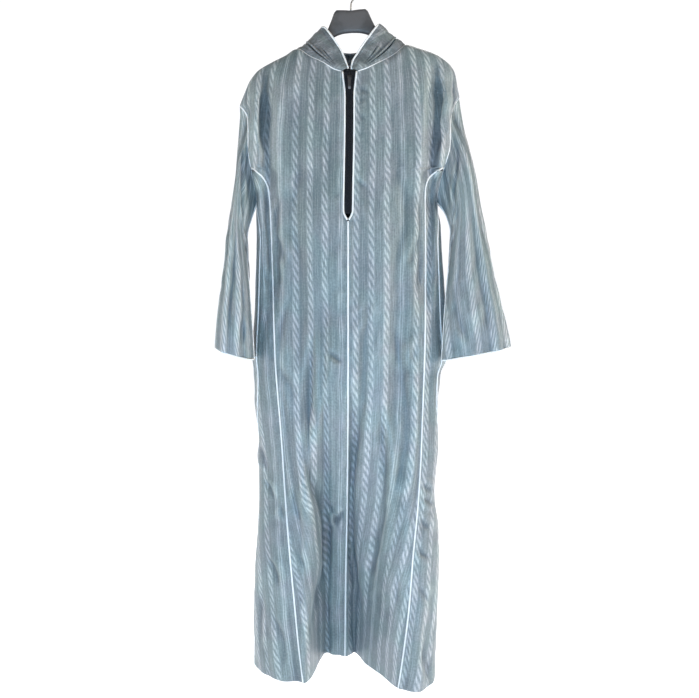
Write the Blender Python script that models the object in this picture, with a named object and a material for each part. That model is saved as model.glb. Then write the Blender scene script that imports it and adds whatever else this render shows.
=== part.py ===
"""Hooded djellaba robe hanging on a broad-shouldered hanger.

Metres, +Z up, the robe's front faces -Y. The origin is the inside top of the hanger's hook.
Left and right are the viewer's, looking at the front. Every cloth piece is a wall of even
thickness worked out from short tables of the robe's sizes and folds.
"""
import math

import bmesh
import bpy
import numpy as np

# Cloth and seams
WALL = 0.0014            # satin with its plain backing
SEAM_GAP = 0.0003        # clearance between neighbouring pieces
PIPING_RADIUS = 0.0019   # corded white piping
PIPING_SIDES = 5
CLEAR = PIPING_RADIUS + SEAM_GAP
PULL = CLEAR + 0.0002    # first try for a border's distance from its cord
FIT_ROUNDS = 8
PLAIN_SEAM = SEAM_GAP / 2 + 0.00005
CORD_JOIN = 2 * PIPING_RADIUS + SEAM_GAP
# How far the cords' ends stay from the seams that they run into, by the start of their names
CORD_ENDS = {
    "placket": (0.0012, 0.0046),
    "neck": (CORD_JOIN, CORD_JOIN),
    "gore": (0.0066, 0.0),
    "side": (0.0044, 0.0),
    "underarm": (0.0140, CORD_JOIN),
}
SEARCH_STEPS = 60        # steps inwards from a piece's border in which it gets clear of the cords
SEARCH_PART = 0.45

# Heights below the hook
HEM_Z = -1.540
BRANCH_Z = -0.396        # the gore seams leave the armhole here
UNDERARM_Z = -0.468
ZIP_NARROW_Z = -0.490    # the placket starts to close to its point
ZIP_POINT_Z = -0.509
GORE_TOP_Z = -0.4045     # the gores' pointed tops are cut off here

# Half widths at the top
PLACKET_TOP = 0.0150
PLACKET = 0.0098
NECK_POINT = {-1: 0.112, 1: 0.118}
DROP_POINT = {-1: (0.232, -0.267), 1: (0.231, -0.251)}

# Grid counts
NECK_COLUMNS = 6
SHOULDER_COLUMNS = 5
YOKE_ROWS = 8
SKIRT_ROWS = 15
GORE_COLUMNS = 5
SLEEVE_ROWS = 11
HOOD_ROWS = (0, 0.03, 0.06, 0.10, 0.15, 0.22, 0.30, 0.38, 0.44, 0.50, 0.56, 0.62, 0.70, 0.80, 0.90, 1)

NECK_CROWD = 1.6         # crowds the columns towards the neck point
# Heights of the rows between the branch and the zip's point
ROW_STOPS = (BRANCH_Z, GORE_TOP_Z, -0.413, -0.435, UNDERARM_Z, ZIP_NARROW_Z, -0.500, ZIP_POINT_Z)

ROUND = 2.6              # exponent of the body's plan, between an ellipse and a box
YOKE_DROP = 0.105        # the cloth rounds off the shoulder over this height
CENTRE_EASE = 0.25       # the centre line starts to wander at this depth, over this height
FOLD_SWELL = 1.6         # how fast the folds come in from the body's sides
EDGE_ANGLE = 1e-6        # keeps the front's and the back's armhole edges apart

# Body plan by height: half widths, depth of front and back, where the sides lie, and how far
# forward the armhole's edges stand.
BODY_COLUMNS = ("z", "left", "right", "front", "back", "side_left", "side_right", "edge")
BODY = (
    (-0.200, 0.216, 0.216, 0.040, 0.040, 0.000, 0.000, 0.30),
    (-0.300, 0.214, 0.213, 0.050, 0.046, 0.000, 0.000, 0.34),
    (-0.360, 0.213, 0.211, 0.056, 0.052, 0.002, 0.000, 0.34),
    (-0.396, 0.209, 0.200, 0.060, 0.056, 0.004, 0.000, 0.30),
    (-0.435, 0.203, 0.190, 0.063, 0.060, 0.006, 0.000, 0.20),
    (-0.468, 0.199, 0.187, 0.066, 0.062, 0.008, 0.000, 0.00),
    (-0.520, 0.200, 0.196, 0.070, 0.066, 0.010, 0.000, 0.00),
    (-0.600, 0.205, 0.202, 0.072, 0.072, 0.014, 0.000, 0.00),
    (-0.700, 0.210, 0.207, 0.074, 0.080, 0.018, 0.000, 0.00),
    (-0.805, 0.216, 0.213, 0.078, 0.088, 0.020, 0.000, 0.00),
    (-0.840, 0.212, 0.202, 0.078, 0.090, 0.020, 0.000, 0.00),
    (-0.920, 0.210, 0.197, 0.080, 0.096, 0.022, -0.002, 0.00),
    (-1.000, 0.203, 0.196, 0.082, 0.102, 0.024, -0.006, 0.00),
    (-1.110, 0.204, 0.191, 0.082, 0.110, 0.028, -0.010, 0.00),
    (-1.200, 0.209, 0.196, 0.082, 0.118, 0.032, -0.016, 0.00),
    (-1.310, 0.217, 0.202, 0.082, 0.126, 0.036, -0.022, 0.00),
    (-1.400, 0.220, 0.201, 0.082, 0.134, 0.038, -0.026, 0.00),
    (-1.540, 0.228, 0.196, 0.084, 0.144, 0.040, -0.030, 0.00),
)

# Neck seam, from the zip to the neck point, in front and behind
FRONT_NECK = {
    -1: ((0.0150, -0.0365, -0.2030), (0.030, -0.0345, -0.1990), (0.055, -0.0290, -0.1840),
         (0.084, -0.0210, -0.1700), (0.104, -0.0155, -0.1560), (0.112, 0.0, -0.1525)),
    1: ((0.0150, -0.0365, -0.2025), (0.030, -0.0345, -0.1985), (0.057, -0.0290, -0.1860),
        (0.084, -0.0210, -0.1720), (0.106, -0.0155, -0.1560), (0.118, 0.0, -0.1435)),
}
BACK_NECK = {
    -1: ((0.0, 0.0340, -0.1800), (0.028, 0.0330, -0.1790), (0.057, 0.0290, -0.1740),
         (0.086, 0.0225, -0.1650), (0.104, 0.0155, -0.1560), (0.112, 0.0, -0.1525)),
    1: ((0.0, 0.0340, -0.1800), (0.028, 0.0330, -0.1780), (0.057, 0.0290, -0.1720),
        (0.086, 0.0225, -0.1620), (0.106, 0.0155, -0.1530), (0.118, 0.0, -0.1435)),
}
# Shoulder line over the hanger, from the neck point to the dropped armhole's top
SHOULDER = {
    -1: ((0.112, -0.1525), (0.133, -0.1645), (0.163, -0.1790), (0.191, -0.1950), (0.203, -0.2075),
         (0.211, -0.2185), (0.219, -0.2360), (0.228, -0.2570), (0.232, -0.2670)),
    1: ((0.118, -0.1435), (0.146, -0.1510), (0.180, -0.1625), (0.203, -0.1770), (0.216, -0.1900),
        (0.222, -0.2020), (0.227, -0.2260), (0.231, -0.2510)),
}
# Armhole's x by height, from the drop to the underarm
ARMHOLE = {
    -1: ((-0.267, 0.232), (-0.278, 0.222), (-0.292, 0.2145), (-0.320, 0.2125), (-0.358, 0.2130),
         (-0.396, 0.2085), (-0.435, 0.2030), (-0.468, 0.1990)),
    1: ((-0.251, 0.231), (-0.264, 0.222), (-0.280, 0.2145), (-0.310, 0.2110), (-0.344, 0.2110),
        (-0.396, 0.2000), (-0.435, 0.1900), (-0.468, 0.1870)),
}
# Seam between the front and its gore, x by height
FRONT_GORE = {
    -1: ((-0.396, 0.2085), (-0.4055, 0.1950), (-0.423, 0.1790), (-0.445, 0.1710), (-0.520, 0.1670),
         (-0.614, 0.1650), (-0.805, 0.1600), (-0.983, 0.1480), (-1.096, 0.1420), (-1.225, 0.1340),
         (-1.359, 0.1230), (-1.443, 0.1160), (-1.540, 0.1050)),
    1: ((-0.396, 0.2000), (-0.4055, 0.1830), (-0.420, 0.1660), (-0.445, 0.1590), (-0.520, 0.1600),
        (-0.609, 0.1620), (-0.750, 0.1610), (-0.998, 0.1550), (-1.120, 0.1490), (-1.230, 0.1390),
        (-1.347, 0.1310), (-1.443, 0.1210), (-1.540, 0.1090)),
}
# Seam between the back and its gore, as a part of the half width
BACK_GORE = ((-0.396, 1.000), (-0.4055, 0.950), (-0.430, 0.900), (-0.520, 0.860), (-0.800, 0.800),
             (-1.100, 0.740), (-1.540, 0.660))
# Side seam, as an angle in front of the side
SIDE_SEAM = ((-0.468, 0.00), (-0.500, 0.26), (-0.560, 0.40), (-0.800, 0.40), (-0.930, 0.26),
             (-1.050, -0.16), (-1.200, -0.30), (-1.540, -0.30))
# Centre-front seam, x by height
CENTRE = ((-0.200, 0.0000), (-0.509, -0.003), (-0.740, -0.003), (-1.160, -0.006), (-1.340, -0.009),
          (-1.540, -0.011))

# Folds of the front and back: heights, x at both, widths of the near wall, flat and far wall, and
# depth at both (a trough is positive, a ridge negative).
FOLD_COLUMNS = ("z_top", "z_low", "x_top", "x_low", "left", "flat", "right", "deep_top", "deep_low")
FADE = 0.09
FRONT_FOLDS = {
    "centre_recess": (-0.820, -1.540, -0.014, -0.020, 0.058, 0.058, 0.118, 0.000, 0.136),
    "centre_fold": (-0.930, -1.540, 0.005, 0.012, 0.020, 0.000, 0.030, 0.010, 0.026),
    "left_trough": (-0.740, -1.540, -0.056, -0.062, 0.022, 0.000, 0.022, 0.004, 0.016),
    "left_lobe_edge": (-0.980, -1.540, -0.087, -0.090, 0.022, 0.000, 0.014, -0.004, -0.010),
    "left_shoulder_drag": (-0.235, -0.640, -0.174, -0.166, 0.020, 0.000, 0.026, 0.012, 0.015),
    "right_shoulder_drag": (-0.235, -0.640, 0.180, 0.162, 0.028, 0.000, 0.020, 0.013, 0.016),
    "left_drag_ridge": (-0.260, -0.560, -0.193, -0.188, 0.014, 0.000, 0.014, -0.006, -0.004),
    "right_drag_ridge": (-0.250, -0.520, 0.196, 0.184, 0.014, 0.000, 0.014, -0.006, -0.004),
    "left_chest": (-0.300, -0.900, -0.112, -0.104, 0.032, 0.000, 0.034, 0.004, 0.006),
    "right_chest": (-0.300, -0.880, 0.098, 0.104, 0.034, 0.000, 0.032, 0.004, 0.006),
    "right_skirt": (-0.780, -1.300, 0.098, 0.080, 0.030, 0.000, 0.030, 0.004, -0.010),
    "right_lobe": (-1.100, -1.540, 0.160, 0.158, 0.040, 0.000, 0.026, -0.002, -0.012),
    "left_lobe": (-1.000, -1.540, -0.158, -0.150, 0.034, 0.000, 0.040, -0.002, -0.010),
}
BACK_FOLDS = {
    "left_trough": (-0.420, -1.540, -0.140, -0.128, 0.036, 0.000, 0.034, -0.006, -0.026),
    "left_ridge": (-0.380, -1.540, -0.088, -0.072, 0.034, 0.000, 0.034, 0.004, 0.016),
    "mid_trough": (-0.600, -1.540, -0.020, -0.006, 0.034, 0.000, 0.030, -0.002, -0.014),
    "mid_ridge": (-0.520, -1.540, 0.030, 0.048, 0.034, 0.000, 0.036, 0.003, 0.014),
    "right_trough": (-0.400, -1.540, 0.094, 0.104, 0.036, 0.000, 0.034, -0.006, -0.028),
    "right_ridge": (-0.440, -1.540, 0.150, 0.152, 0.030, 0.000, 0.026, 0.003, 0.010),
}

# Sleeves: outer edge, inner edge, middle's y and depth at each section below the armhole
SLEEVE_COLUMNS = ("along", "outer_x", "outer_z", "inner_x", "inner_z", "mid_y", "depth")
SLEEVES = {
    -1: ((0.00, 0.232, -0.267, 0.199, -0.468, 0.004, 0.034),
         (0.14, 0.2365, -0.335, 0.2115, -0.500, 0.002, 0.066),
         (0.32, 0.2440, -0.420, 0.2220, -0.545, -0.004, 0.088),
         (0.50, 0.2550, -0.515, 0.2200, -0.603, -0.014, 0.092),
         (0.68, 0.2670, -0.610, 0.2150, -0.664, -0.026, 0.090),
         (0.84, 0.2780, -0.697, 0.2095, -0.733, -0.038, 0.086),
         (1.00, 0.2850, -0.776, 0.2060, -0.802, -0.046, 0.082)),
    1: ((0.00, 0.231, -0.251, 0.187, -0.468, 0.000, 0.034),
        (0.14, 0.2440, -0.318, 0.2080, -0.495, -0.004, 0.064),
        (0.32, 0.2640, -0.405, 0.2180, -0.535, -0.012, 0.078),
        (0.50, 0.2860, -0.505, 0.2150, -0.588, -0.024, 0.074),
        (0.68, 0.3070, -0.600, 0.2080, -0.652, -0.036, 0.066),
        (0.84, 0.3270, -0.690, 0.2020, -0.728, -0.047, 0.058),
        (1.00, 0.3435, -0.774, 0.1980, -0.803, -0.055, 0.050)),
}
SLEEVE_ROUND = 2.3
SLEEVE_BLEND = 0.20      # the armhole's shape turns into the tube's over this part of the length
# Long folds of a sleeve: turn round the tube, half width, depth at the top and at the cuff
SLEEVE_FOLDS = {
    -1: ((0.34, 0.12, -0.003, -0.007), (0.66, 0.10, 0.003, 0.004), (1.30, 0.14, -0.004, -0.007),
         (1.62, 0.12, 0.003, 0.004)),
    1: ((0.30, 0.11, -0.003, -0.005), (0.62, 0.12, 0.002, 0.004), (1.36, 0.13, -0.003, -0.006),
        (1.70, 0.10, 0.002, 0.003)),
}

# Hood's face edge, from the zip over the hanger to the middle behind
MOUTH_COLUMNS = ("around", "x", "y", "z")
MOUTH = {
    -1: ((0.00, 0.0030, -0.0395, -0.1980), (0.10, 0.0082, -0.0355, -0.1820),
         (0.20, 0.0120, -0.0320, -0.1720), (0.30, 0.0225, -0.0285, -0.1520),
         (0.40, 0.0360, -0.0250, -0.1320), (0.50, 0.0560, -0.0060, -0.1075),
         (0.60, 0.0660, 0.0380, -0.1150), (0.74, 0.0540, 0.0780, -0.1340),
         (0.88, 0.0280, 0.1040, -0.1450), (1.00, 0.0000, 0.1120, -0.1490)),
    1: ((0.00, 0.0040, -0.0390, -0.1990), (0.10, 0.0060, -0.0350, -0.1830),
        (0.20, 0.0140, -0.0320, -0.1700), (0.30, 0.0265, -0.0285, -0.1500),
        (0.40, 0.0420, -0.0250, -0.1290), (0.50, 0.0630, -0.0060, -0.1030),
        (0.60, 0.0700, 0.0380, -0.1120), (0.74, 0.0560, 0.0780, -0.1330),
        (0.88, 0.0290, 0.1040, -0.1450), (1.00, 0.0000, 0.1120, -0.1490)),
}
# The mouth's y counts up to HOOD_BACK: from there on the hood lies along the back.
HOOD_TURN = 0.50         # the neck point, on the way round from the zip
HOOD_SPREAD = 0.10       # behind it the hood's sides draw in over this part
HOOD_FLAP = (0.26, 0.46)  # the flap's bulge fades out between these
HOOD_BACK = 0.74
HOOD_BAG_FROM = 0.60     # the bag begins here
HOOD_SAG = 0.335         # depth of the hood's point below the neck behind
HOOD_BULGE = 0.007
HOOD_LIFT = 0.009        # height of the roll of the cloth over the neck seam behind
HOOD_ROLL = 0.18         # part of the hood's length in that roll
HOOD_STAND = 0.009       # how far the bag stands off the back
HOOD_STAND_UP = 0.34     # part of the hood's length in which it gets there
HOOD_THICK = 0.022       # distance between the bag's two layers
HOOD_THICK_UP = (0.30, 0.80)  # where the upper layer leaves the lower one

# Hanger, as if level: half length, top, bottom and thickness
HANGER_COLUMNS = ("x", "top", "bottom", "thick")
HANGER = (
    (0.000, -0.0745, -0.1190, 0.0180), (0.016, -0.0730, -0.1200, 0.0180),
    (0.029, -0.0725, -0.1230, 0.0180), (0.034, -0.0760, -0.1250, 0.0176),
    (0.042, -0.0930, -0.1290, 0.0170), (0.052, -0.1130, -0.1350, 0.0160),
    (0.066, -0.1270, -0.1440, 0.0150), (0.086, -0.1440, -0.1570, 0.0140),
    (0.112, -0.1610, -0.1740, 0.0170), (0.140, -0.1710, -0.1860, 0.0220),
    (0.168, -0.1850, -0.1990, 0.0260), (0.188, -0.1970, -0.2090, 0.0260),
    (0.200, -0.2080, -0.2150, 0.0200),
)
HANGER_TILT = math.radians(2.4)
HANGER_ROUND = 0.85      # 1 is an ellipse, less is boxier
HANGER_CORNERS = 10
HOOK_SIDES = 10
HOOK_WIRE = 0.0019
HOOK_INNER = 0.0210
HOOK_SHANK = ((0.0, 0.0), (0.0, 0.008), (0.0015, 0.016), (0.008, 0.024))  # x and rise
HOOK_BEND = (-42, 206, 12)  # the ring's first and last angle and the step, in degrees

# Zip
TAPE_TIP = 0.2           # the tapes are cut off at this part of the placket's point
ZIP_SLIDER_Z = -0.2170
SLIDER_SIZE = (0.0092, 0.0038, 0.0115)
SLIDER_NIP = 0.16        # part of its length that its bevels take
BAIL_WIDE = 0.0022
BAIL_LONG = 0.0070
BAIL_HIGH = 0.0033
BAIL_BAR = 0.0011
BAIL_SUNK = 0.0005
TAB_WIDE = 0.0068
TAB_LONG = 0.0250
TAB_THICK = 0.0011
TAB_HOLE = (0.0034, 0.0042)
TAB_CORNER = 0.0010
TAB_SHOULDER = (0.80, 0.0020)  # part of the half width, and height above the tip
TAB_TIP = 0.45

CLOTH_RGB = (0.30, 0.37, 0.42)
WHITE_RGB = (0.82, 0.84, 0.86)
NAVY_RGB = (0.012, 0.014, 0.022)
CHARCOAL_RGB = (0.05, 0.05, 0.052)
STEEL_RGB = (0.55, 0.55, 0.56)


def curve(knots, values, at):
    """Smooth line through the knots that never overshoots them."""
    knots = np.asarray(knots, float)
    values = np.asarray(values, float)
    if knots[0] > knots[-1]:
        knots, values = knots[::-1], values[::-1]
    steps = np.diff(knots)
    slopes = np.diff(values) / steps
    product = slopes[:-1] * slopes[1:]
    total = np.where(product > 0, slopes[:-1] + slopes[1:], 1.0)
    tangents = np.zeros_like(values)
    tangents[1:-1] = np.where(product > 0, 2 * product / total, 0.0)
    tangents[0], tangents[-1] = slopes[0], slopes[-1]
    at = np.clip(at, knots[0], knots[-1])
    i = np.clip(np.searchsorted(knots, at) - 1, 0, len(steps) - 1)
    t = (at - knots[i]) / steps[i]
    start = (2 * t**3 - 3 * t**2 + 1) * values[i] + (t**3 - 2 * t**2 + t) * steps[i] * tangents[i]
    end = (3 * t**2 - 2 * t**3) * values[i + 1] + (t**3 - t**2) * steps[i] * tangents[i + 1]
    return start + end


def column(table, names, name):
    return [row[names.index(name)] for row in table]


def look_up(table, names, key, name, at):
    return curve(column(table, names, key), column(table, names, name), at)


def pairs(table, at):
    return curve([row[0] for row in table], [row[1] for row in table], at)


def ease(t):
    t = np.clip(t, 0.0, 1.0)
    return t * t * (3 - 2 * t)


def mix(a, b, t):
    return a + (b - a) * t


def fold_sum(folds, x, z):
    """Depth of all long folds at x and z."""
    total = np.zeros(np.broadcast(x, z).shape)
    for row in folds.values():
        fold = dict(zip(FOLD_COLUMNS, row))
        along = np.clip((fold["z_top"] - z) / (fold["z_top"] - fold["z_low"]), 0.0, 1.0)
        here = mix(fold["x_top"], fold["x_low"], along)
        depth = mix(fold["deep_top"], fold["deep_low"], ease(along))
        depth = depth * ease((fold["z_top"] + FADE - z) / FADE)
        if fold["z_low"] > HEM_Z:
            depth = depth * ease((z - fold["z_low"] + FADE) / FADE)
        half = fold["flat"] / 2
        rise = ease((x - here + half + fold["left"]) / fold["left"])
        fall = ease((here + half + fold["right"] - x) / fold["right"])
        total = total + depth * rise * fall
    return total


def body_size(name, z):
    return look_up(BODY, BODY_COLUMNS, "z", name, z)


def angle_of(share, behind):
    """Angle round the body's plan of a place at a share of the half width, -1 to 1."""
    share = np.clip(share, -1.0, 1.0)
    across = np.sign(share) * np.abs(share) ** (ROUND / 2)
    turn = np.clip(np.arccos(across), EDGE_ANGLE, math.pi - EDGE_ANGLE)
    return turn if behind else -turn


def half_width(x_sign, z):
    return np.where(x_sign < 0, body_size("left", z), body_size("right", z))


def body_xy(angle, z):
    """Plan of the robe's body at a height: the front lies at negative angles."""
    across, deep = np.cos(angle), np.sin(angle)
    x = np.sign(across) * np.abs(across) ** (2 / ROUND) * half_width(across, z)
    share = x / half_width(across, z)
    swell = np.abs(deep) ** (2 / ROUND)
    inwards = ease(swell * FOLD_SWELL)
    edge = body_size("edge", z)
    lift = edge + (1 - edge) * swell
    side_y = mix(body_size("side_left", z), body_size("side_right", z), (share + 1) / 2)
    front = side_y - body_size("front", z) * lift + fold_sum(FRONT_FOLDS, x, z) * inwards
    back = side_y + body_size("back", z) * lift + fold_sum(BACK_FOLDS, x, z) * inwards
    return x, np.where(deep < 0, front, back)


def placket_x(z):
    """Half width of the zip's opening."""
    return curve((-0.200, -0.253, ZIP_NARROW_Z, ZIP_POINT_Z), (PLACKET_TOP, PLACKET, PLACKET, 0.0), z)


def centre_x(z):
    """x of the zip's middle and of the centre seam below it."""
    return pairs(CENTRE, z) * ease((z + CENTRE_EASE) / -CENTRE_EASE)


def outer_x(side, z):
    """Seam at a front's outer side: the armhole, then the gore seam."""
    upper = pairs(ARMHOLE[side], z)
    lower = pairs(FRONT_GORE[side], z)
    return side * np.where(z > BRANCH_Z, upper, lower)


def top_edge(side, x, behind):
    """y and z of the neck seam and shoulder line at x."""
    neck = BACK_NECK[side] if behind else FRONT_NECK[side]
    rows = neck + tuple((sx, 0.0, sz) for sx, sz in SHOULDER[side][1:])
    knots = [row[0] for row in rows]
    return curve(knots, [row[1] for row in rows], x), curve(knots, [row[2] for row in rows], x)


def yoke(side, x_top, v, behind):
    """Height at row v, 0 at the top edge and 1 at the branch, and how far it has rounded off."""
    y_top, z_top = top_edge(side, x_top, behind)
    z = np.where(v < 1, z_top + (BRANCH_Z - z_top) * np.clip(v, 0, 1), BRANCH_Z - (v - 1))
    near = np.clip((z_top - z) / YOKE_DROP, 0.0, 1.0)
    return y_top, z, np.sqrt(1 - (1 - near) ** 2)


def front_panel(side, u, v):
    """Front half from the centre (u=0) to the armhole or gore seam (u=1)."""
    x_top = mix(PLACKET_TOP, DROP_POINT[side][0], u)
    y_top, z, off = yoke(side, x_top, v, False)
    inner = centre_x(z) + side * placket_x(z)
    x = mix(inner, outer_x(side, z), u)
    _, y = body_xy(angle_of(x / half_width(x, z), False), z)
    return np.stack([x, mix(y_top, y, off), z], -1)


def zip_panel(side, u, v):
    """Zip tape from the centre (u=0) to the placket seam (u=1)."""
    _, z, off = yoke(side, PLACKET_TOP, v, False)
    y_top, _ = top_edge(side, PLACKET_TOP, False)
    x = centre_x(z) + side * placket_x(z) * u
    _, y = body_xy(angle_of(x / half_width(x, z), False), z)
    return np.stack([x, mix(y_top, y, off), z], -1)


def back_panel(u, v):
    """Back from the left seam (u=-1) to the right one (u=1)."""
    left = back_half(-1, -u, v)
    right = back_half(1, u, v)
    return np.where((u < 0)[..., None], left, right)


def back_half(side, u, v):
    u = np.clip(u, 0.0, 1.0)
    y_top, z, off = yoke(side, DROP_POINT[side][0] * u, v, True)
    upper = pairs(ARMHOLE[side], z)
    lower = pairs(BACK_GORE, z) * half_width(side, z)
    x = side * u * np.where(z > BRANCH_Z, upper, lower)
    _, y = body_xy(angle_of(x / half_width(side, z), True), z)
    return np.stack([x, mix(y_top, y, off), z], -1)


def side_angle(side, behind, z):
    """Angle of the side seam, or of the armhole's edge above the underarm."""
    above = z > UNDERARM_Z
    seam = pairs(SIDE_SEAM, z)
    if behind:
        turn = np.where(above, -EDGE_ANGLE, seam)
    else:
        turn = np.where(above, EDGE_ANGLE, seam)
    if side > 0:
        return -turn
    return turn + math.pi if behind else turn - math.pi


def gore_panel(side, behind, u, v):
    """Gore from the front or back seam (u=0) to the side seam (u=1)."""
    z = BRANCH_Z - (v - 1)
    if behind:
        start = angle_of(side * pairs(BACK_GORE, z), True)
    else:
        start = angle_of(outer_x(side, z) / half_width(side, z), False)
    x, y = body_xy(mix(start, side_angle(side, behind, z), u), z)
    return np.stack([x, y, np.broadcast_to(z, x.shape)], -1)


def rows_down():
    """Row places v: the yoke's, the gores' top, the underarm, the zip's point and the skirt."""
    yoke_rows = (np.arange(YOKE_ROWS) / YOKE_ROWS) ** 2
    skirt = np.linspace(ZIP_POINT_Z, HEM_Z, SKIRT_ROWS + 1)[1:]
    return np.concatenate([yoke_rows, 1 + BRANCH_Z - np.array(ROW_STOPS), 1 + BRANCH_Z - skirt])


def from_row(z):
    return int(np.argmin(np.abs(rows_down() - (1 + BRANCH_Z - z))))


def neck_share():
    """Places from the middle to the neck point, closer together where the seam turns back."""
    return 1 - (1 - np.linspace(0, 1, NECK_COLUMNS + 1)) ** NECK_CROWD


def front_columns(side):
    middle = (NECK_POINT[side] - PLACKET_TOP) / (DROP_POINT[side][0] - PLACKET_TOP)
    return np.concatenate([neck_share() * middle, np.linspace(middle, 1, SHOULDER_COLUMNS + 1)[1:]])


def back_columns():
    halves = {}
    for side in (-1, 1):
        middle = NECK_POINT[side] / DROP_POINT[side][0]
        halves[side] = np.concatenate([neck_share() * middle,
                                       np.linspace(middle, 1, SHOULDER_COLUMNS + 1)[1:]])
    return np.concatenate([-halves[-1][::-1], halves[1][1:]])


def round_neck():
    """Places round half of the neck seam, at the front's and the back's own columns."""
    return np.concatenate([neck_share() / 2, 1 - neck_share()[::-1][1:] / 2])


def armhole_ring(side):
    """Armhole points from the top down the front to the underarm and up the back."""
    rows = rows_down()
    last = from_row(UNDERARM_Z)
    branch = from_row(BRANCH_Z)
    v = rows[: branch + 1]
    front = front_panel(side, np.ones_like(v), v)
    back = back_half(side, np.ones_like(v), v)
    v = rows[branch + 1: last + 1]
    front = np.concatenate([front, gore_panel(side, False, np.ones_like(v), v)])
    back = np.concatenate([back, gore_panel(side, True, np.ones_like(v), v)])
    top = (front[0] + back[0]) / 2
    low = (front[-1] + back[-1]) / 2
    return np.concatenate([[top], front[1:-1], [low], back[1:-1][::-1], [top]])


def sleeve_size(side, name, v):
    return look_up(SLEEVES[side], SLEEVE_COLUMNS, "along", name, v)


def ring_turn(ring):
    """Place of each armhole point round the sleeve: 0 at the top, 1 at the underarm, 2 at the top."""
    places = np.concatenate([[0.0], np.cumsum(np.linalg.norm(np.diff(ring, axis=0), axis=1))])
    low = len(ring) // 2
    back = 1 + (places - places[low]) / (places[-1] - places[low])
    return np.where(np.arange(len(ring)) <= low, places / places[low], back)


def sleeve_point(side, around, v, ring):
    """Sleeve tube: around runs 0 to 2 from the top down the front and up the back."""
    low = len(ring) // 2
    turn = ring_turn(ring)
    hole = np.stack([np.interp(around, turn, ring[:, k]) for k in range(3)], -1)
    outer = np.stack([side * sleeve_size(side, "outer_x", v), sleeve_size(side, "outer_z", v)], -1)
    inner = np.stack([side * sleeve_size(side, "inner_x", v), sleeve_size(side, "inner_z", v)], -1)
    span = inner - outer
    length = np.linalg.norm(span, axis=-1)
    square = np.stack([-span[..., 1], span[..., 0]], -1) / length[..., None]
    start = np.array([ring[0][0], ring[0][2]])
    reach = np.array([ring[low][0], ring[low][2]]) - start
    reach_long = np.linalg.norm(reach)
    offset = np.stack([hole[..., 0], hole[..., 2]], -1) - start
    part_hole = (offset @ reach) / reach_long**2
    away_hole = (offset @ np.array([-reach[1], reach[0]])) / reach_long
    angle = around * math.pi
    cos, sin = np.cos(angle), np.sin(angle)
    part = 0.5 - 0.5 * np.sign(cos) * np.abs(cos) ** (2 / SLEEVE_ROUND)
    deep = -np.sign(sin) * np.abs(sin) ** (2 / SLEEVE_ROUND) * sleeve_size(side, "depth", v) / 2
    for place, wide, top, cuff in SLEEVE_FOLDS[side]:
        bump = ease(1 - np.abs(around - place) / wide)
        deep = deep - np.sign(sin) * bump * mix(top, cuff, v) * -1
    blend = ease(v / SLEEVE_BLEND)
    part = mix(part_hole, part, blend)
    y = mix(hole[..., 1], sleeve_size(side, "mid_y", v) + deep, blend)
    away = away_hole * (1 - blend)
    plane = outer + span * part[..., None] + square * away[..., None]
    return np.stack([plane[..., 0], y, plane[..., 1]], -1)


def neck_seam(side, around):
    """Neck seam: around runs 0 to 1 from the zip over the neck point to the middle behind."""
    front = mix(PLACKET_TOP, NECK_POINT[side], 2 * around)
    back = mix(NECK_POINT[side], 0.0, 2 * around - 1)
    x = np.where(around < 0.5, front, back)
    y_front, z_front = top_edge(side, x, False)
    y_back, z_back = top_edge(side, x, True)
    ahead = around < 0.5
    return np.stack([side * x, np.where(ahead, y_front, y_back), np.where(ahead, z_front, z_back)], -1)


def back_y(side, x, z):
    """y of the robe's back behind the height z at a distance x from the middle."""
    y_top, z_top = top_edge(side, DROP_POINT[side][0] * x / pairs(ARMHOLE[side], z), True)
    near = np.clip((z_top - z) / YOKE_DROP, 0.0, 1.0)
    _, y = body_xy(angle_of(side * x / half_width(side, z), True), z)
    return mix(y_top, y, np.sqrt(1 - (1 - near) ** 2))


def hood_point(side, around, up):
    """Hood from the neck seam (up=0) to the face edge (up=1), sagging into a bag behind."""
    neck = neck_seam(side, around)
    mouth = [look_up(MOUTH[side], MOUTH_COLUMNS, "around", name, around) for name in ("x", "y", "z")]
    behind = ease((around - HOOD_BAG_FROM) / (1 - HOOD_BAG_FROM))
    draw = mix(up, up**2, ease((around - HOOD_TURN) / HOOD_SPREAD))
    x = mix(neck[..., 0] * side, mouth[0], draw)
    fall = np.sin(np.pi * np.clip((up - HOOD_ROLL / 2) / (1 - HOOD_ROLL), 0.0, 1.0)) ** 1.5
    z = mix(neck[..., 2], mouth[2], up) - HOOD_SAG * behind * fall
    z = z + HOOD_LIFT * ease(behind * 2) * np.sin(np.pi * np.clip(up / HOOD_ROLL, 0.0, 1.0))
    bulge = HOOD_BULGE * np.sin(np.pi * up) * ease((HOOD_FLAP[1] - around) / (HOOD_FLAP[1] - HOOD_FLAP[0]))
    flap = mix(neck[..., 1], mouth[1], up) - bulge
    leave = (up - HOOD_THICK_UP[0]) / (HOOD_THICK_UP[1] - HOOD_THICK_UP[0])
    bag = back_y(side, x, z) + HOOD_STAND * ease(up / HOOD_STAND_UP) + HOOD_THICK * ease(leave)
    y = mix(flap, bag, ease((around - HOOD_TURN) / (HOOD_BACK - HOOD_TURN)))
    return np.stack([side * x, y, z], -1)


def normals_of(grid):
    """Unit normals at the points of a grid, square to its lines at the borders."""
    normal = np.cross(np.gradient(grid, axis=1), np.gradient(grid, axis=0))
    return normal / np.linalg.norm(normal, axis=-1, keepdims=True)


def gap_to(points, paths):
    """Distance of each point from the nearest of several lines."""
    nearest = np.full(points.shape[:-1], 1.0)
    for path in paths:
        for start, end in zip(path[:-1], path[1:]):
            way = end - start
            along = np.clip((points - start) @ way / way.dot(way), 0.0, 1.0)
            away = points - start - along[..., None] * way
            nearest = np.minimum(nearest, np.linalg.norm(away, axis=-1))
    return nearest


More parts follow.
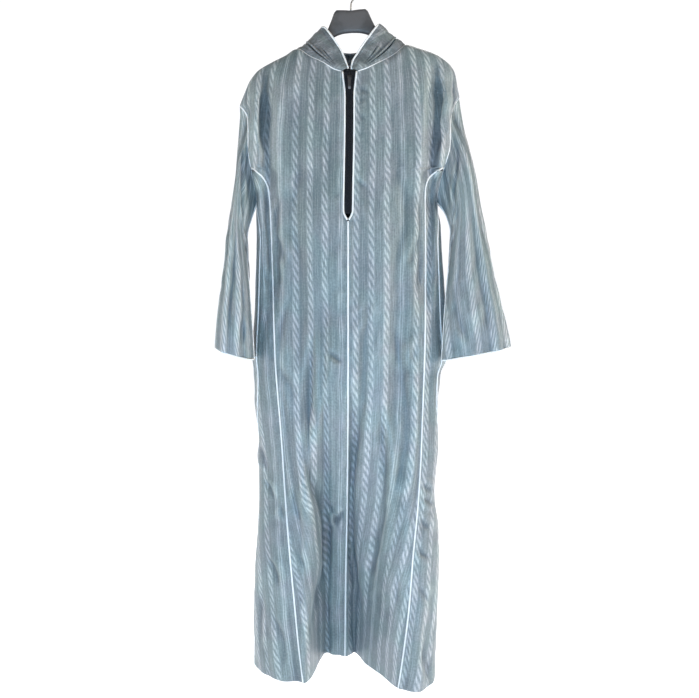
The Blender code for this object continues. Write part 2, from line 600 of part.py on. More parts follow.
def first_clear(lines, places, cords, seams, pull):
    """Place on each line of points where it gets clear of the cords and plain seams."""
    room = np.minimum(gap_to(lines, cords) - pull[:, None], gap_to(lines, seams) - PLAIN_SEAM)
    inside = np.arange(room.shape[1]) >= np.argmin(room, axis=1)[:, None]
    after = np.argmax(inside & (room >= 0), axis=1)
    before = np.maximum(after - 1, 0)
    low = np.take_along_axis(room, before[:, None], 1)[:, 0]
    high = np.take_along_axis(room, after[:, None], 1)[:, 0]
    part = np.where(after > 0, -low / np.maximum(high - low, 1e-9), 0.0)
    return mix(places[before], places[after], np.clip(part, 0.0, 1.0))


def moved(point, columns, rows, sides, ends, fade, pulls):
    """Grid whose borders are moved inwards: sideways over the width, or over the end rows."""
    steps = SEARCH_PART * (np.arange(SEARCH_STEPS + 1) / SEARCH_STEPS) ** 2
    u, v = np.meshgrid(columns, rows)
    width = columns[-1] - columns[0]
    part = (u - columns[0]) / width
    for edge, way in ((0, 1), (-1, -1)):
        lines = point(columns[edge] + way * steps[None, :] * width, rows[:, None] + 0 * steps[None, :])
        move = first_clear(lines, steps, *sides, pulls["sides"][edge])[:, None] * width
        u = u + way * move * (1 - part if edge == 0 else part)
    for edge, far, way in ((0, fade, 1), (-1, -1 - fade, -1)):
        reach = abs(rows[far] - rows[edge])
        place = rows[edge] + way * steps[None, :] * reach
        lines = point(u[edge][:, None] + 0 * steps[None, :], place + 0 * u[edge][:, None])
        move = first_clear(lines, steps, *ends, pulls["ends"][edge])[None, :] * reach
        v = v + way * move * np.clip(1 - np.abs(v - rows[edge]) / reach, 0.0, 1.0)
    return point(u, v)


def border_gaps(line, normals, cords):
    """Least distance from the cords of each piece of a wall's border."""
    parts = np.linspace(0, 1, 5)[:, None, None]
    nearest = []
    for half in (-WALL / 2, WALL / 2):
        rim = line + normals * half
        nearest.append(np.min(gap_to(mix(rim[:-1], rim[1:], parts), cords), axis=0))
    return np.minimum(*nearest)


def fitted(point, columns, rows, sides, ends, fade=2):
    """Grid of a surface whose wall is clear of the cords and seams along its borders.

    The sides are held clear of the cords and seams of one pair of lists, the ends of the other's.
    """
    pulls = {"sides": [np.full(len(rows), PULL), np.full(len(rows), PULL)],
             "ends": [np.full(len(columns), PULL), np.full(len(columns), PULL)]}
    for _ in range(FIT_ROUNDS):
        grid = moved(point, columns, rows, sides, ends, fade, pulls)
        normals = normals_of(grid)
        for name, cords in (("sides", sides[0]), ("ends", ends[0])):
            for edge in (0, -1):
                line = grid[:, edge] if name == "sides" else grid[edge]
                way = normals[:, edge] if name == "sides" else normals[edge]
                short = np.maximum(CLEAR - border_gaps(line, way, cords), 0.0)
                pulls[name][edge][:-1] += short
                pulls[name][edge][1:] += short
    return moved(point, columns, rows, sides, ends, fade, pulls)


def principled(name, rgb, roughness, metallic=0.0):
    material = bpy.data.materials.new(name)
    material.use_nodes = True
    shader = material.node_tree.nodes["Principled BSDF"]
    shader.inputs["Base Color"].default_value = (*rgb, 1.0)
    shader.inputs["Roughness"].default_value = roughness
    shader.inputs["Metallic"].default_value = metallic
    material.diffuse_color = (*rgb, 1.0)
    return material


def add_object(name, points, faces, material):
    mesh = bpy.data.meshes.new(name)
    mesh.from_pydata([tuple(p) for p in points], [], faces)
    mesh.materials.append(material)
    mesh.shade_smooth()
    mesh.set_sharp_from_angle(angle=math.radians(40))
    item = bpy.data.objects.new(name, mesh)
    bpy.context.scene.collection.objects.link(item)
    return item


def wall(name, grid, normals, material, outward, thick=WALL):
    """Closed wall of even thickness round a grid of points."""
    rows, cols = grid.shape[:2]
    sign = np.sign(np.mean(np.sum(normals * outward, axis=-1)))
    lift = normals * sign * thick / 2
    points = np.concatenate([(grid + lift).reshape(-1, 3), (grid - lift).reshape(-1, 3)])
    back = rows * cols

    def at(j, i):
        return j * cols + i

    faces = []
    falling = np.linalg.norm(grid[1:, 1:] - grid[:-1, :-1], axis=-1)
    rising = np.linalg.norm(grid[1:, :-1] - grid[:-1, 1:], axis=-1)
    for j in range(rows - 1):
        for i in range(cols - 1):
            a, b, c, d = at(j, i), at(j + 1, i), at(j + 1, i + 1), at(j, i + 1)
            halves = ((a, b, c), (a, c, d)) if falling[j, i] < rising[j, i] else ((a, b, d), (b, c, d))
            for half in halves:
                faces.append(half)
                faces.append(tuple(back + k for k in reversed(half)))
    rim = [at(0, i) for i in range(cols)] + [at(j, cols - 1) for j in range(1, rows)]
    rim += [at(rows - 1, i) for i in range(cols - 2, -1, -1)] + [at(j, 0) for j in range(rows - 2, 0, -1)]
    for k, here in enumerate(rim):
        after = rim[(k + 1) % len(rim)]
        faces.append((here, after, back + after, back + here))
    across = grid[:, 1:] - grid[:, :-1]
    down = grid[1:] - grid[:-1]
    facing = np.mean(np.sum(np.cross(down[:, :-1], across[:-1]) * lift[:-1, :-1], axis=-1))
    if facing < 0:
        faces = [tuple(reversed(face)) for face in faces]
    return add_object(name, points, faces, material)


def tube(name, path, radius, material, sides=PIPING_SIDES):
    """Round cord along a line of points, closed where the line ends at its first point."""
    closed = np.linalg.norm(path[0] - path[-1]) < 1e-6
    if closed:
        path = path[:-1]
        ahead, behind = np.roll(path, -1, axis=0), np.roll(path, 1, axis=0)
    else:
        ahead = np.concatenate([path[1:], path[-1:]])
        behind = np.concatenate([path[:1], path[:-1]])
    count = len(path)
    tangents = ahead - behind
    tangents /= np.linalg.norm(tangents, axis=1, keepdims=True)
    side = np.cross(tangents[0], (0.0, 1.0, 0.3))
    points, faces = [], []
    for centre, tangent in zip(path, tangents):
        side = side - tangent * side.dot(tangent)
        side = side / np.linalg.norm(side)
        other = np.cross(tangent, side)
        for k in range(sides):
            turn = 2 * math.pi * k / sides
            points.append(centre + radius * (math.cos(turn) * side + math.sin(turn) * other))
    rings = count if closed else count - 1
    for j in range(rings):
        after = (j + 1) % count
        for k in range(sides):
            right = (k + 1) % sides
            faces.append((j * sides + k, j * sides + right, after * sides + right, after * sides + k))
    if not closed:
        faces.append(tuple(range(sides - 1, -1, -1)))
        faces.append(tuple((count - 1) * sides + k for k in range(sides)))
    return add_object(name, points, faces, material)


def shorten(path, start=0.0, end=0.0):
    """Path with a length cut off either end."""
    path = np.asarray(path, float)
    places = np.concatenate([[0.0], np.cumsum(np.linalg.norm(np.diff(path, axis=0), axis=1))])
    low, high = start, places[-1] - end
    inside = (places > low + 1e-4) & (places < high - 1e-4)
    at = np.concatenate([[low], places[inside], [high]])
    return np.stack([np.interp(at, places, path[:, k]) for k in range(3)], -1)


def level(normals, axis):
    """Normals with one component taken out, so that two pieces share a plane at their seam."""
    flat = normals.copy()
    flat[..., axis] = 0.0
    return flat / np.linalg.norm(flat, axis=-1, keepdims=True)


def build_front(side, word, cloth, cords):
    rows = rows_down()
    columns = front_columns(side)

    def point(u, v):
        return front_panel(side, u, v)

    beside = pick(cords, "placket_" + word, "centre", "armhole_" + word, "gore_front_" + word)
    shoulder = point(columns[NECK_COLUMNS:], np.zeros(SHOULDER_COLUMNS + 1))
    grid = fitted(point, columns, rows, (beside, []), (pick(cords, "neck"), [shoulder]))
    normals = normals_of(grid)
    normals[0, NECK_COLUMNS + 1:] = level(normals[0, NECK_COLUMNS + 1:], 1)
    wall("front_" + word, grid, normals, cloth, (0, -1, 0))


def build_back(cloth, cords):
    columns = back_columns()
    beside = pick(cords, "armhole_left", "armhole_right", "gore_back_left", "gore_back_right")
    top = back_panel(columns, np.zeros_like(columns))
    ends = SHOULDER_COLUMNS + 1
    above = (pick(cords, "neck"), [top[:ends], top[-ends:]])
    grid = fitted(back_panel, columns, rows_down(), (beside, []), above)
    normals = normals_of(grid)
    normals[0, :SHOULDER_COLUMNS] = level(normals[0, :SHOULDER_COLUMNS], 1)
    normals[0, -SHOULDER_COLUMNS:] = level(normals[0, -SHOULDER_COLUMNS:], 1)
    wall("back", grid, normals, cloth, (0, 1, 0))


def build_gore(side, word, behind, cloth, cords):
    rows = rows_down()[from_row(GORE_TOP_Z):]
    columns = np.linspace(0, 1, GORE_COLUMNS + 1)
    part = "back" if behind else "front"

    def point(u, v):
        return gore_panel(side, behind, u, v)

    beside = pick(cords, f"gore_{part}_{word}", "side_" + word, "armhole_" + word)
    grid = fitted(point, columns, rows, (beside, []), ([], []))
    name = f"gore_{part}_{word}"
    wall(name, grid, normals_of(grid), cloth, (side, 0.4 if behind else -0.4, 0))


def sleeve_columns(side):
    """Places round the sleeve, from the underarm up the back and down the front to it again."""
    turn = ring_turn(armhole_ring(side))
    low = len(turn) // 2
    return np.concatenate([turn[low:-1] - 2, turn[:low + 1]])


def sleeve_tube(side, u, v):
    return sleeve_point(side, np.mod(u, 2.0), v, armhole_ring(side))


def build_sleeve(side, word, cloth, cords):
    rows = np.linspace(0, 1, SLEEVE_ROWS + 1)

    def point(u, v):
        return sleeve_tube(side, u, v)

    ends = (pick(cords, "armhole_" + word, "cuff_" + word), [])
    grid = fitted(point, sleeve_columns(side), rows, (pick(cords, "underarm_" + word), []), ends, 1)
    centre = np.mean(grid, axis=1, keepdims=True)
    wall("sleeve_" + word, grid, normals_of(grid), cloth, grid - centre)


def build_hood(side, word, cloth, cords):
    rows = np.array(HOOD_ROWS, float)

    def point(u, v):
        return hood_point(side, u, v)

    middle = point(np.ones_like(rows), rows)
    ends = (pick(cords, "neck", "hood"), [])
    grid = fitted(point, round_neck(), rows, ([], [middle]), ends, len(rows) - 1)
    normals = normals_of(grid)
    normals[:, -1] = level(normals[:, -1], 0)
    wall("hood_" + word, grid, normals, cloth, (0, -1, 0.2))


def build_zip_tape(side, word, navy, cords):
    tip = 1 + BRANCH_Z - mix(ZIP_NARROW_Z, ZIP_POINT_Z, TAPE_TIP)
    rows = np.concatenate([rows_down()[: from_row(ZIP_NARROW_Z) + 1], [tip]])

    def point(u, v):
        return zip_panel(side, u, v)

    middle = point(np.zeros_like(rows), rows)
    beside = (pick(cords, "placket_" + word), [middle])
    grid = fitted(point, np.array([0.0, 0.5, 1.0]), rows, beside, (pick(cords, "neck", "hood"), []))
    wall("zip_tape_" + word, grid, normals_of(grid), navy, (0, -1, 0))


def pick(cords, *names):
    return [cords[name] for name in names]


def cord_lines():
    """Lines of the seams with a white cord; the closed ones end at their first point."""
    rows = rows_down()
    upper = rows[: from_row(ZIP_POINT_Z) + 1]
    lower = rows[from_row(ZIP_POINT_Z):]
    gore_rows = rows[from_row(BRANCH_Z):]
    side_rows = rows[from_row(UNDERARM_Z):]
    sleeve_rows = np.linspace(0, 1, SLEEVE_ROWS + 1)
    around = round_neck()
    cords, necks, mouths = {}, [], []
    for side, word in ((-1, "left"), (1, "right")):
        cords["placket_" + word] = front_panel(side, np.zeros_like(upper), upper)
        cords["armhole_" + word] = armhole_ring(side)
        for behind, part in ((False, "front"), (True, "back")):
            seam = gore_panel(side, behind, np.zeros_like(gore_rows), gore_rows)
            cords[f"gore_{part}_{word}"] = seam
        cords["side_" + word] = gore_panel(side, False, np.ones_like(side_rows), side_rows)
        cords["underarm_" + word] = sleeve_tube(side, -np.ones_like(sleeve_rows), sleeve_rows)
        columns = sleeve_columns(side)
        cords["cuff_" + word] = sleeve_tube(side, columns, np.ones_like(columns))
        necks.append(neck_seam(side, around))
        mouths.append(hood_point(side, around, np.ones_like(around)))
    cords["centre"] = front_panel(1, np.zeros_like(lower), lower)
    cords["neck"] = np.concatenate([necks[0], necks[1][::-1][1:]])
    cords["hood"] = np.concatenate([mouths[0], mouths[1][::-1][1:]])
    return cords


def tilted(x, y, z):
    """Point of the hanger, turned about the hook's seat."""
    cos, sin = math.cos(HANGER_TILT), math.sin(HANGER_TILT)
    return (x * cos - z * sin, y, z * cos + x * sin)


def build_hanger(charcoal):
    """Arms and hump lofted through rounded sections from one end to the other."""
    corners = HANGER_CORNERS
    rows = [(-row[0], *row[1:]) for row in HANGER[:0:-1]] + list(HANGER)
    points, faces = [], []
    for x, top, bottom, thick in rows:
        for k in range(corners):
            turn = 2 * math.pi * (k + 0.5) / corners
            cos, sin = math.cos(turn), math.sin(turn)
            y = math.copysign(abs(cos) ** HANGER_ROUND, cos) * thick / 2
            z = (top + bottom) / 2 + math.copysign(abs(sin) ** HANGER_ROUND, sin) * (top - bottom) / 2
            points.append(tilted(x, y, z))
    for j in range(len(rows) - 1):
        for k in range(corners):
            right = (k + 1) % corners
            faces.append((j * corners + k, j * corners + right, (j + 1) * corners + right,
                          (j + 1) * corners + k))
    faces.append(tuple(range(corners - 1, -1, -1)))
    faces.append(tuple((len(rows) - 1) * corners + k for k in range(corners)))
    return add_object("hanger", points, faces, charcoal)


def build_hook(steel):
    """Wire hook: a straight shank, a short bend and an open ring over the rail."""
    middle = HOOK_INNER + HOOK_WIRE
    centre_z = -HOOK_INNER
    base = HANGER[0][1] + SEAM_GAP
    path = [(x, base + rise) for x, rise in HOOK_SHANK]
    for degrees in range(*HOOK_BEND):
        turn = math.radians(degrees)
        path.append((middle * math.cos(turn), centre_z + middle * math.sin(turn)))
    points = np.array([tilted(x, 0.0, z) for x, z in path])
    return tube("hook", points, HOOK_WIRE, steel, sides=HOOK_SIDES)


def slider_frame():
    """Place, up and outward directions of the zip at the slider."""
    yoke_height = BRANCH_Z - top_edge(1, PLACKET_TOP, False)[1]
    v = (ZIP_SLIDER_Z - BRANCH_Z + yoke_height) / yoke_height
    at = zip_panel(1, np.array(0.0), np.array(v))
    below = zip_panel(1, np.array(0.0), np.array(v + 0.05))
    up = at - below
    up[0] = 0.0
    up /= np.linalg.norm(up)
    out = np.cross(up, (1.0, 0.0, 0.0))
    if out[1] > 0:
        out = -out
    seat = at + out * (WALL / 2 + SEAM_GAP)
    return seat, up, out


def slider_place(x, up, out):
    seat, up_way, out_way = slider_frame()
    return seat + np.array((x, 0.0, 0.0)) + up_way * up + out_way * out


def prism(name, outline, half_wide, material, hole=None):
    """Solid between two copies of an outline (up, out) at -half_wide and half_wide in x."""
    count = len(outline)
    points = [slider_place(-half_wide, up, out) for up, out in outline]
    points += [slider_place(half_wide, up, out) for up, out in outline]
    faces = [tuple(range(count)), tuple(range(2 * count - 1, count - 1, -1))]
    for k in range(count):
        after = (k + 1) % count
        faces.append((k, count + k, count + after, after))
    return add_object(name, points, faces, material)


def outward(item):
    """Turns an object's faces outwards."""
    mesh = item.data
    shape = bmesh.new()
    shape.from_mesh(mesh)
    bmesh.ops.recalc_face_normals(shape, faces=shape.faces)
    shape.to_mesh(mesh)
    shape.free()


def build_slider(steel):
    """Zip slider with the arch that holds its pull tab."""
    wide, deep, long = SLIDER_SIZE
    half, nip = long / 2, long * SLIDER_NIP
    outline = [(half, 0), (-half, 0), (-half, deep - nip), (-half + nip, deep), (half - nip, deep),
               (half, deep - nip)]
    body = prism("zip_slider", outline, wide / 2, steel)
    outward(body)
    half, bar = BAIL_LONG / 2, BAIL_BAR
    top = deep + BAIL_HIGH
    sunk = deep - BAIL_SUNK
    arch = [(-half, sunk), (-half, top - bar), (-half + bar, top), (half - bar, top),
            (half, top - bar), (half, sunk), (half - bar, sunk), (half - bar, top - 1.6 * bar),
            (half - 1.6 * bar, top - bar), (-half + 1.6 * bar, top - bar),
            (-half + bar, top - 1.6 * bar), (-half + bar, sunk)]
    bail = prism("bail_shape", arch, BAIL_WIDE / 2, steel)
    outward(bail)
    bail.hide_render = True
    bail.display_type = "WIRE"
    union = body.modifiers.new("bail", "BOOLEAN")
    union.operation = "UNION"
    union.object = bail


def build_pull_tab(steel):
    """Pull tab: a plate with a slot near its top, whose cross bar turns inside the arch."""
    inside = BAIL_HIGH - BAIL_BAR
    pivot_out = SLIDER_SIZE[1] + inside / 2
    thick = TAB_THICK / 2
    hole_half = TAB_HOLE[0] / 2
    hole_top, hole_low = -thick, -thick - TAB_HOLE[1]
    half = TAB_WIDE / 2
    low = thick - TAB_LONG
    near = half - TAB_CORNER
    wide, rise = half * TAB_SHOULDER[0], low + TAB_SHOULDER[1]
    tip = half * TAB_TIP
    outer = [(-near, thick), (near, thick), (half, thick - TAB_CORNER), (half, hole_low),
             (wide, rise), (tip, low), (-tip, low), (-wide, rise), (-half, hole_low),
             (-half, thick - TAB_CORNER)]
    hole = [(-hole_half, hole_top), (hole_half, hole_top), (hole_half, hole_low),
            (-hole_half, hole_low)]
    links = ((0, 0), (1, 1), (2, 1), (3, 2), (4, 2), (5, 2), (6, 3), (7, 3), (8, 3), (9, 0))
    seat, up_way, out_way = slider_frame()
    pivot = slider_place(0.0, 0.0, pivot_out)
    points = []
    for out in (-thick, thick):
        for x, up in outer + hole:
            points.append(np.array((x, 0.0, 0.0)) + up_way * up + out_way * out)
    ring, layer = len(outer), len(outer) + len(hole)
    faces = []
    for k in range(ring):
        after = (k + 1) % ring
        a, b = links[k][1], links[after][1]
        inner = [ring + a] if a == b else [ring + b, ring + a]
        faces.append((k, after, *inner))
        faces.append(tuple(layer + j for j in reversed((k, after, *inner))))
        faces.append((k, layer + k, layer + after, after))
    for k in range(4):
        after = (k + 1) % 4
        faces.append((ring + k, ring + after, layer + ring + after, layer + ring + k))
    tab = add_object("zip_pull_tab", points, faces, steel)
    outward(tab)
    tab.location = pivot
    return pivot


def build_robe(cloth, white, navy):
    cords = cord_lines()
    for side, word in ((-1, "left"), (1, "right")):
        build_front(side, word, cloth, cords)
        build_gore(side, word, False, cloth, cords)
        build_gore(side, word, True, cloth, cords)
        build_sleeve(side, word, cloth, cords)
        build_hood(side, word, cloth, cords)
        build_zip_tape(side, word, navy, cords)
    build_back(cloth, cords)
    for name, line in cords.items():
        ends = CORD_ENDS.get(name.split("_")[0])
        tube("piping_" + name, shorten(line, *ends) if ends else line, PIPING_RADIUS, white)


def clear_scene():
    for item in list(bpy.data.objects):
        bpy.data.objects.remove(item, do_unlink=True)


def main():
    clear_scene()
    cloth = principled("striped_satin", CLOTH_RGB, 0.45)
    white = principled("white_piping", WHITE_RGB, 0.6)
    navy = principled("zip_tape", NAVY_RGB, 0.8)
    charcoal = principled("hanger_plastic", CHARCOAL_RGB, 0.35)
    steel = principled("zip_metal", STEEL_RGB, 0.3, 1.0)
    build_robe(cloth, white, navy)
    build_slider(steel)
    build_pull_tab(steel)
    build_hanger(charcoal)
    build_hook(steel)


main()
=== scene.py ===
"""Looks of a hooded djellaba robe hanging on a broad-shouldered hanger.

Metres, +Z up, the robe's front faces -Y, and left and right are the viewer's. The cloth follows
the same tables of sizes and folds as the CAD solids, with its creases, weave and sewing added.
"""
import math

import bmesh
import bpy
import numpy as np
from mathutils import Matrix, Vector


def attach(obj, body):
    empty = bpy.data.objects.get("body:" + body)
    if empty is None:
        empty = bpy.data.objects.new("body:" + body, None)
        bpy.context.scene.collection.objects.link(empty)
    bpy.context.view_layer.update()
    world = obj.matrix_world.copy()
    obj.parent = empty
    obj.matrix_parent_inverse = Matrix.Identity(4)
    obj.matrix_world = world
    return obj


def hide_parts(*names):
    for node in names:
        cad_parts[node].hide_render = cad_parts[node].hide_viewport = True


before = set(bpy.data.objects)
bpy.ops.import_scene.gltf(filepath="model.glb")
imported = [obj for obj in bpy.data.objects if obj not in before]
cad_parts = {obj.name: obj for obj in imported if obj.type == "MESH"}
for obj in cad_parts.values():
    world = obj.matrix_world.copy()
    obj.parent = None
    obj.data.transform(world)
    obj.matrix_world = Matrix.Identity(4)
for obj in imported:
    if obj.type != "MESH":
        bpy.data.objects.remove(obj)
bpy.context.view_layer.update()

bl_info = {
    "name": "Hooded robe on a hanger",
    "version": (1, 0, 0),
    "blender": (4, 5, 0),
    "location": "View3D > Sidebar > Robe",
    "description": "Builds the cloth, seams, zip and hanger of a hooded robe",
    "category": "Object",
}

ROOT = "robe_on_hanger"
TAB_BODY = "zip_pull"
SIDES = ((-1, "left"), (1, "right"))

# Heights below the hook
HEM_Z = -1.540
BRANCH_Z = -0.396        # the gore seams leave the armhole here
UNDERARM_Z = -0.468
ZIP_NARROW_Z = -0.490    # the placket starts to close to its point
ZIP_POINT_Z = -0.509
GORE_TOP_Z = -0.4045     # the gores' pointed tops are cut off here

# Half widths at the top
PLACKET_TOP = 0.0150
PLACKET = 0.0098
NECK_POINT = {-1: 0.112, 1: 0.118}
DROP_POINT = {-1: (0.232, -0.267), 1: (0.231, -0.251)}


ROUND = 2.6              # exponent of the body's plan, between an ellipse and a box
YOKE_DROP = 0.105        # the cloth rounds off the shoulder over this height
EDGE_ANGLE = 1e-6        # keeps the front's and the back's armhole edges apart

# Body plan by height: half widths, depth of front and back, where the sides lie, and how far
# forward the armhole's edges stand.
BODY_COLUMNS = ("z", "left", "right", "front", "back", "side_left", "side_right", "edge")
BODY = (
    (-0.200, 0.216, 0.216, 0.040, 0.040, 0.000, 0.000, 0.30),
    (-0.300, 0.214, 0.213, 0.050, 0.046, 0.000, 0.000, 0.34),
    (-0.360, 0.213, 0.211, 0.056, 0.052, 0.002, 0.000, 0.34),
    (-0.396, 0.209, 0.200, 0.060, 0.056, 0.004, 0.000, 0.30),
    (-0.435, 0.203, 0.190, 0.063, 0.060, 0.006, 0.000, 0.20),
    (-0.468, 0.199, 0.187, 0.066, 0.062, 0.008, 0.000, 0.00),
    (-0.520, 0.200, 0.196, 0.070, 0.066, 0.010, 0.000, 0.00),
    (-0.600, 0.205, 0.202, 0.072, 0.072, 0.014, 0.000, 0.00),
    (-0.700, 0.210, 0.207, 0.074, 0.080, 0.018, 0.000, 0.00),
    (-0.805, 0.216, 0.213, 0.078, 0.088, 0.020, 0.000, 0.00),
    (-0.840, 0.212, 0.202, 0.078, 0.090, 0.020, 0.000, 0.00),
    (-0.920, 0.210, 0.197, 0.080, 0.096, 0.022, -0.002, 0.00),
    (-1.000, 0.203, 0.196, 0.082, 0.102, 0.024, -0.006, 0.00),
    (-1.110, 0.204, 0.191, 0.082, 0.110, 0.028, -0.010, 0.00),
    (-1.200, 0.209, 0.196, 0.082, 0.118, 0.032, -0.016, 0.00),
    (-1.310, 0.217, 0.202, 0.082, 0.126, 0.036, -0.022, 0.00),
    (-1.400, 0.220, 0.201, 0.082, 0.134, 0.038, -0.026, 0.00),
    (-1.540, 0.228, 0.196, 0.084, 0.144, 0.040, -0.030, 0.00),
)

# Neck seam, from the zip to the neck point, in front and behind
FRONT_NECK = {
    -1: ((0.0150, -0.0365, -0.2030), (0.030, -0.0345, -0.1990), (0.055, -0.0290, -0.1840),
         (0.084, -0.0210, -0.1700), (0.104, -0.0155, -0.1560), (0.112, 0.0, -0.1525)),
    1: ((0.0150, -0.0365, -0.2025), (0.030, -0.0345, -0.1985), (0.057, -0.0290, -0.1860),
        (0.084, -0.0210, -0.1720), (0.106, -0.0155, -0.1560), (0.118, 0.0, -0.1435)),
}
BACK_NECK = {
    -1: ((0.0, 0.0340, -0.1800), (0.028, 0.0330, -0.1790), (0.057, 0.0290, -0.1740),
         (0.086, 0.0225, -0.1650), (0.104, 0.0155, -0.1560), (0.112, 0.0, -0.1525)),
    1: ((0.0, 0.0340, -0.1800), (0.028, 0.0330, -0.1780), (0.057, 0.0290, -0.1720),
        (0.086, 0.0225, -0.1620), (0.106, 0.0155, -0.1530), (0.118, 0.0, -0.1435)),
}
# Shoulder line over the hanger, from the neck point to the dropped armhole's top
SHOULDER = {
    -1: ((0.112, -0.1525), (0.133, -0.1645), (0.163, -0.1790), (0.191, -0.1950), (0.203, -0.2075),
         (0.211, -0.2185), (0.219, -0.2360), (0.228, -0.2570), (0.232, -0.2670)),
    1: ((0.118, -0.1435), (0.146, -0.1510), (0.180, -0.1625), (0.203, -0.1770), (0.216, -0.1900),
        (0.222, -0.2020), (0.227, -0.2260), (0.231, -0.2510)),
}
# Armhole's x by height, from the drop to the underarm
ARMHOLE = {
    -1: ((-0.267, 0.232), (-0.278, 0.222), (-0.292, 0.2145), (-0.320, 0.2125), (-0.358, 0.2130),
         (-0.396, 0.2085), (-0.435, 0.2030), (-0.468, 0.1990)),
    1: ((-0.251, 0.231), (-0.264, 0.222), (-0.280, 0.2145), (-0.310, 0.2110), (-0.344, 0.2110),
        (-0.396, 0.2000), (-0.435, 0.1900), (-0.468, 0.1870)),
}
# Seam between the front and its gore, x by height
FRONT_GORE = {
    -1: ((-0.396, 0.2085), (-0.4055, 0.1950), (-0.423, 0.1790), (-0.445, 0.1710), (-0.520, 0.1670),
         (-0.614, 0.1650), (-0.805, 0.1600), (-0.983, 0.1480), (-1.096, 0.1420), (-1.225, 0.1340),
         (-1.359, 0.1230), (-1.443, 0.1160), (-1.540, 0.1050)),
    1: ((-0.396, 0.2000), (-0.4055, 0.1830), (-0.420, 0.1660), (-0.445, 0.1590), (-0.520, 0.1600),
        (-0.609, 0.1620), (-0.750, 0.1610), (-0.998, 0.1550), (-1.120, 0.1490), (-1.230, 0.1390),
        (-1.347, 0.1310), (-1.443, 0.1210), (-1.540, 0.1090)),
}
# Seam between the back and its gore, as a part of the half width
BACK_GORE = ((-0.396, 1.000), (-0.4055, 0.950), (-0.430, 0.900), (-0.520, 0.860), (-0.800, 0.800),
             (-1.100, 0.740), (-1.540, 0.660))
# Side seam, as an angle in front of the side
SIDE_SEAM = ((-0.468, 0.00), (-0.500, 0.26), (-0.560, 0.40), (-0.800, 0.40), (-0.930, 0.26),
             (-1.050, -0.16), (-1.200, -0.30), (-1.540, -0.30))
# Centre-front seam, x by height
CENTRE = ((-0.200, 0.0000), (-0.509, -0.003), (-0.740, -0.003), (-1.160, -0.006), (-1.340, -0.009),
          (-1.540, -0.011))

# Folds of the front and back: heights, x at both, widths of the near wall, flat and far wall, and
# depth at both (a trough is positive, a ridge negative).
FADE = 0.09
FRONT_FOLDS = {
    "centre_recess": (-0.820, -1.540, -0.014, -0.020, 0.058, 0.058, 0.118, 0.000, 0.136),
    "centre_fold": (-0.930, -1.540, 0.005, 0.012, 0.020, 0.000, 0.030, 0.010, 0.026),
    "left_trough": (-0.740, -1.540, -0.056, -0.062, 0.022, 0.000, 0.022, 0.004, 0.016),
    "left_lobe_edge": (-0.980, -1.540, -0.087, -0.090, 0.022, 0.000, 0.014, -0.004, -0.010),
    "left_shoulder_drag": (-0.235, -0.640, -0.174, -0.166, 0.020, 0.000, 0.026, 0.012, 0.015),
    "right_shoulder_drag": (-0.235, -0.640, 0.180, 0.162, 0.028, 0.000, 0.020, 0.013, 0.016),
    "left_drag_ridge": (-0.260, -0.560, -0.193, -0.188, 0.014, 0.000, 0.014, -0.006, -0.004),
    "right_drag_ridge": (-0.250, -0.520, 0.196, 0.184, 0.014, 0.000, 0.014, -0.006, -0.004),
    "left_chest": (-0.300, -0.900, -0.112, -0.104, 0.032, 0.000, 0.034, 0.004, 0.006),
    "right_chest": (-0.300, -0.880, 0.098, 0.104, 0.034, 0.000, 0.032, 0.004, 0.006),
    "right_skirt": (-0.780, -1.300, 0.098, 0.080, 0.030, 0.000, 0.030, 0.004, -0.010),
    "right_lobe": (-1.100, -1.540, 0.160, 0.158, 0.040, 0.000, 0.026, -0.002, -0.012),
    "left_lobe": (-1.000, -1.540, -0.158, -0.150, 0.034, 0.000, 0.040, -0.002, -0.010),
}
BACK_FOLDS = {
    "left_trough": (-0.420, -1.540, -0.140, -0.128, 0.036, 0.000, 0.034, -0.006, -0.026),
    "left_ridge": (-0.380, -1.540, -0.088, -0.072, 0.034, 0.000, 0.034, 0.004, 0.016),
    "mid_trough": (-0.600, -1.540, -0.020, -0.006, 0.034, 0.000, 0.030, -0.002, -0.014),
    "mid_ridge": (-0.520, -1.540, 0.030, 0.048, 0.034, 0.000, 0.036, 0.003, 0.014),
    "right_trough": (-0.400, -1.540, 0.094, 0.104, 0.036, 0.000, 0.034, -0.006, -0.028),
    "right_ridge": (-0.440, -1.540, 0.150, 0.152, 0.030, 0.000, 0.026, 0.003, 0.010),
}

# Sleeves: outer edge, inner edge, middle's y and depth at each section below the armhole
SLEEVE_COLUMNS = ("along", "outer_x", "outer_z", "inner_x", "inner_z", "mid_y", "depth")
SLEEVES = {
    -1: ((0.00, 0.232, -0.267, 0.199, -0.468, 0.004, 0.034),
         (0.14, 0.2365, -0.335, 0.2115, -0.500, 0.002, 0.066),
         (0.32, 0.2440, -0.420, 0.2220, -0.545, -0.004, 0.088),
         (0.50, 0.2550, -0.515, 0.2200, -0.603, -0.014, 0.092),
         (0.68, 0.2670, -0.610, 0.2150, -0.664, -0.026, 0.090),
         (0.84, 0.2780, -0.697, 0.2095, -0.733, -0.038, 0.086),
         (1.00, 0.2850, -0.776, 0.2060, -0.802, -0.046, 0.082)),
    1: ((0.00, 0.231, -0.251, 0.187, -0.468, 0.000, 0.034),
        (0.14, 0.2440, -0.318, 0.2080, -0.495, -0.004, 0.064),
        (0.32, 0.2640, -0.405, 0.2180, -0.535, -0.012, 0.078),
        (0.50, 0.2860, -0.505, 0.2150, -0.588, -0.024, 0.074),
        (0.68, 0.3070, -0.600, 0.2080, -0.652, -0.036, 0.066),
        (0.84, 0.3270, -0.690, 0.2020, -0.728, -0.047, 0.058),
        (1.00, 0.3435, -0.774, 0.1980, -0.803, -0.055, 0.050)),
}
SLEEVE_ROUND = 2.3
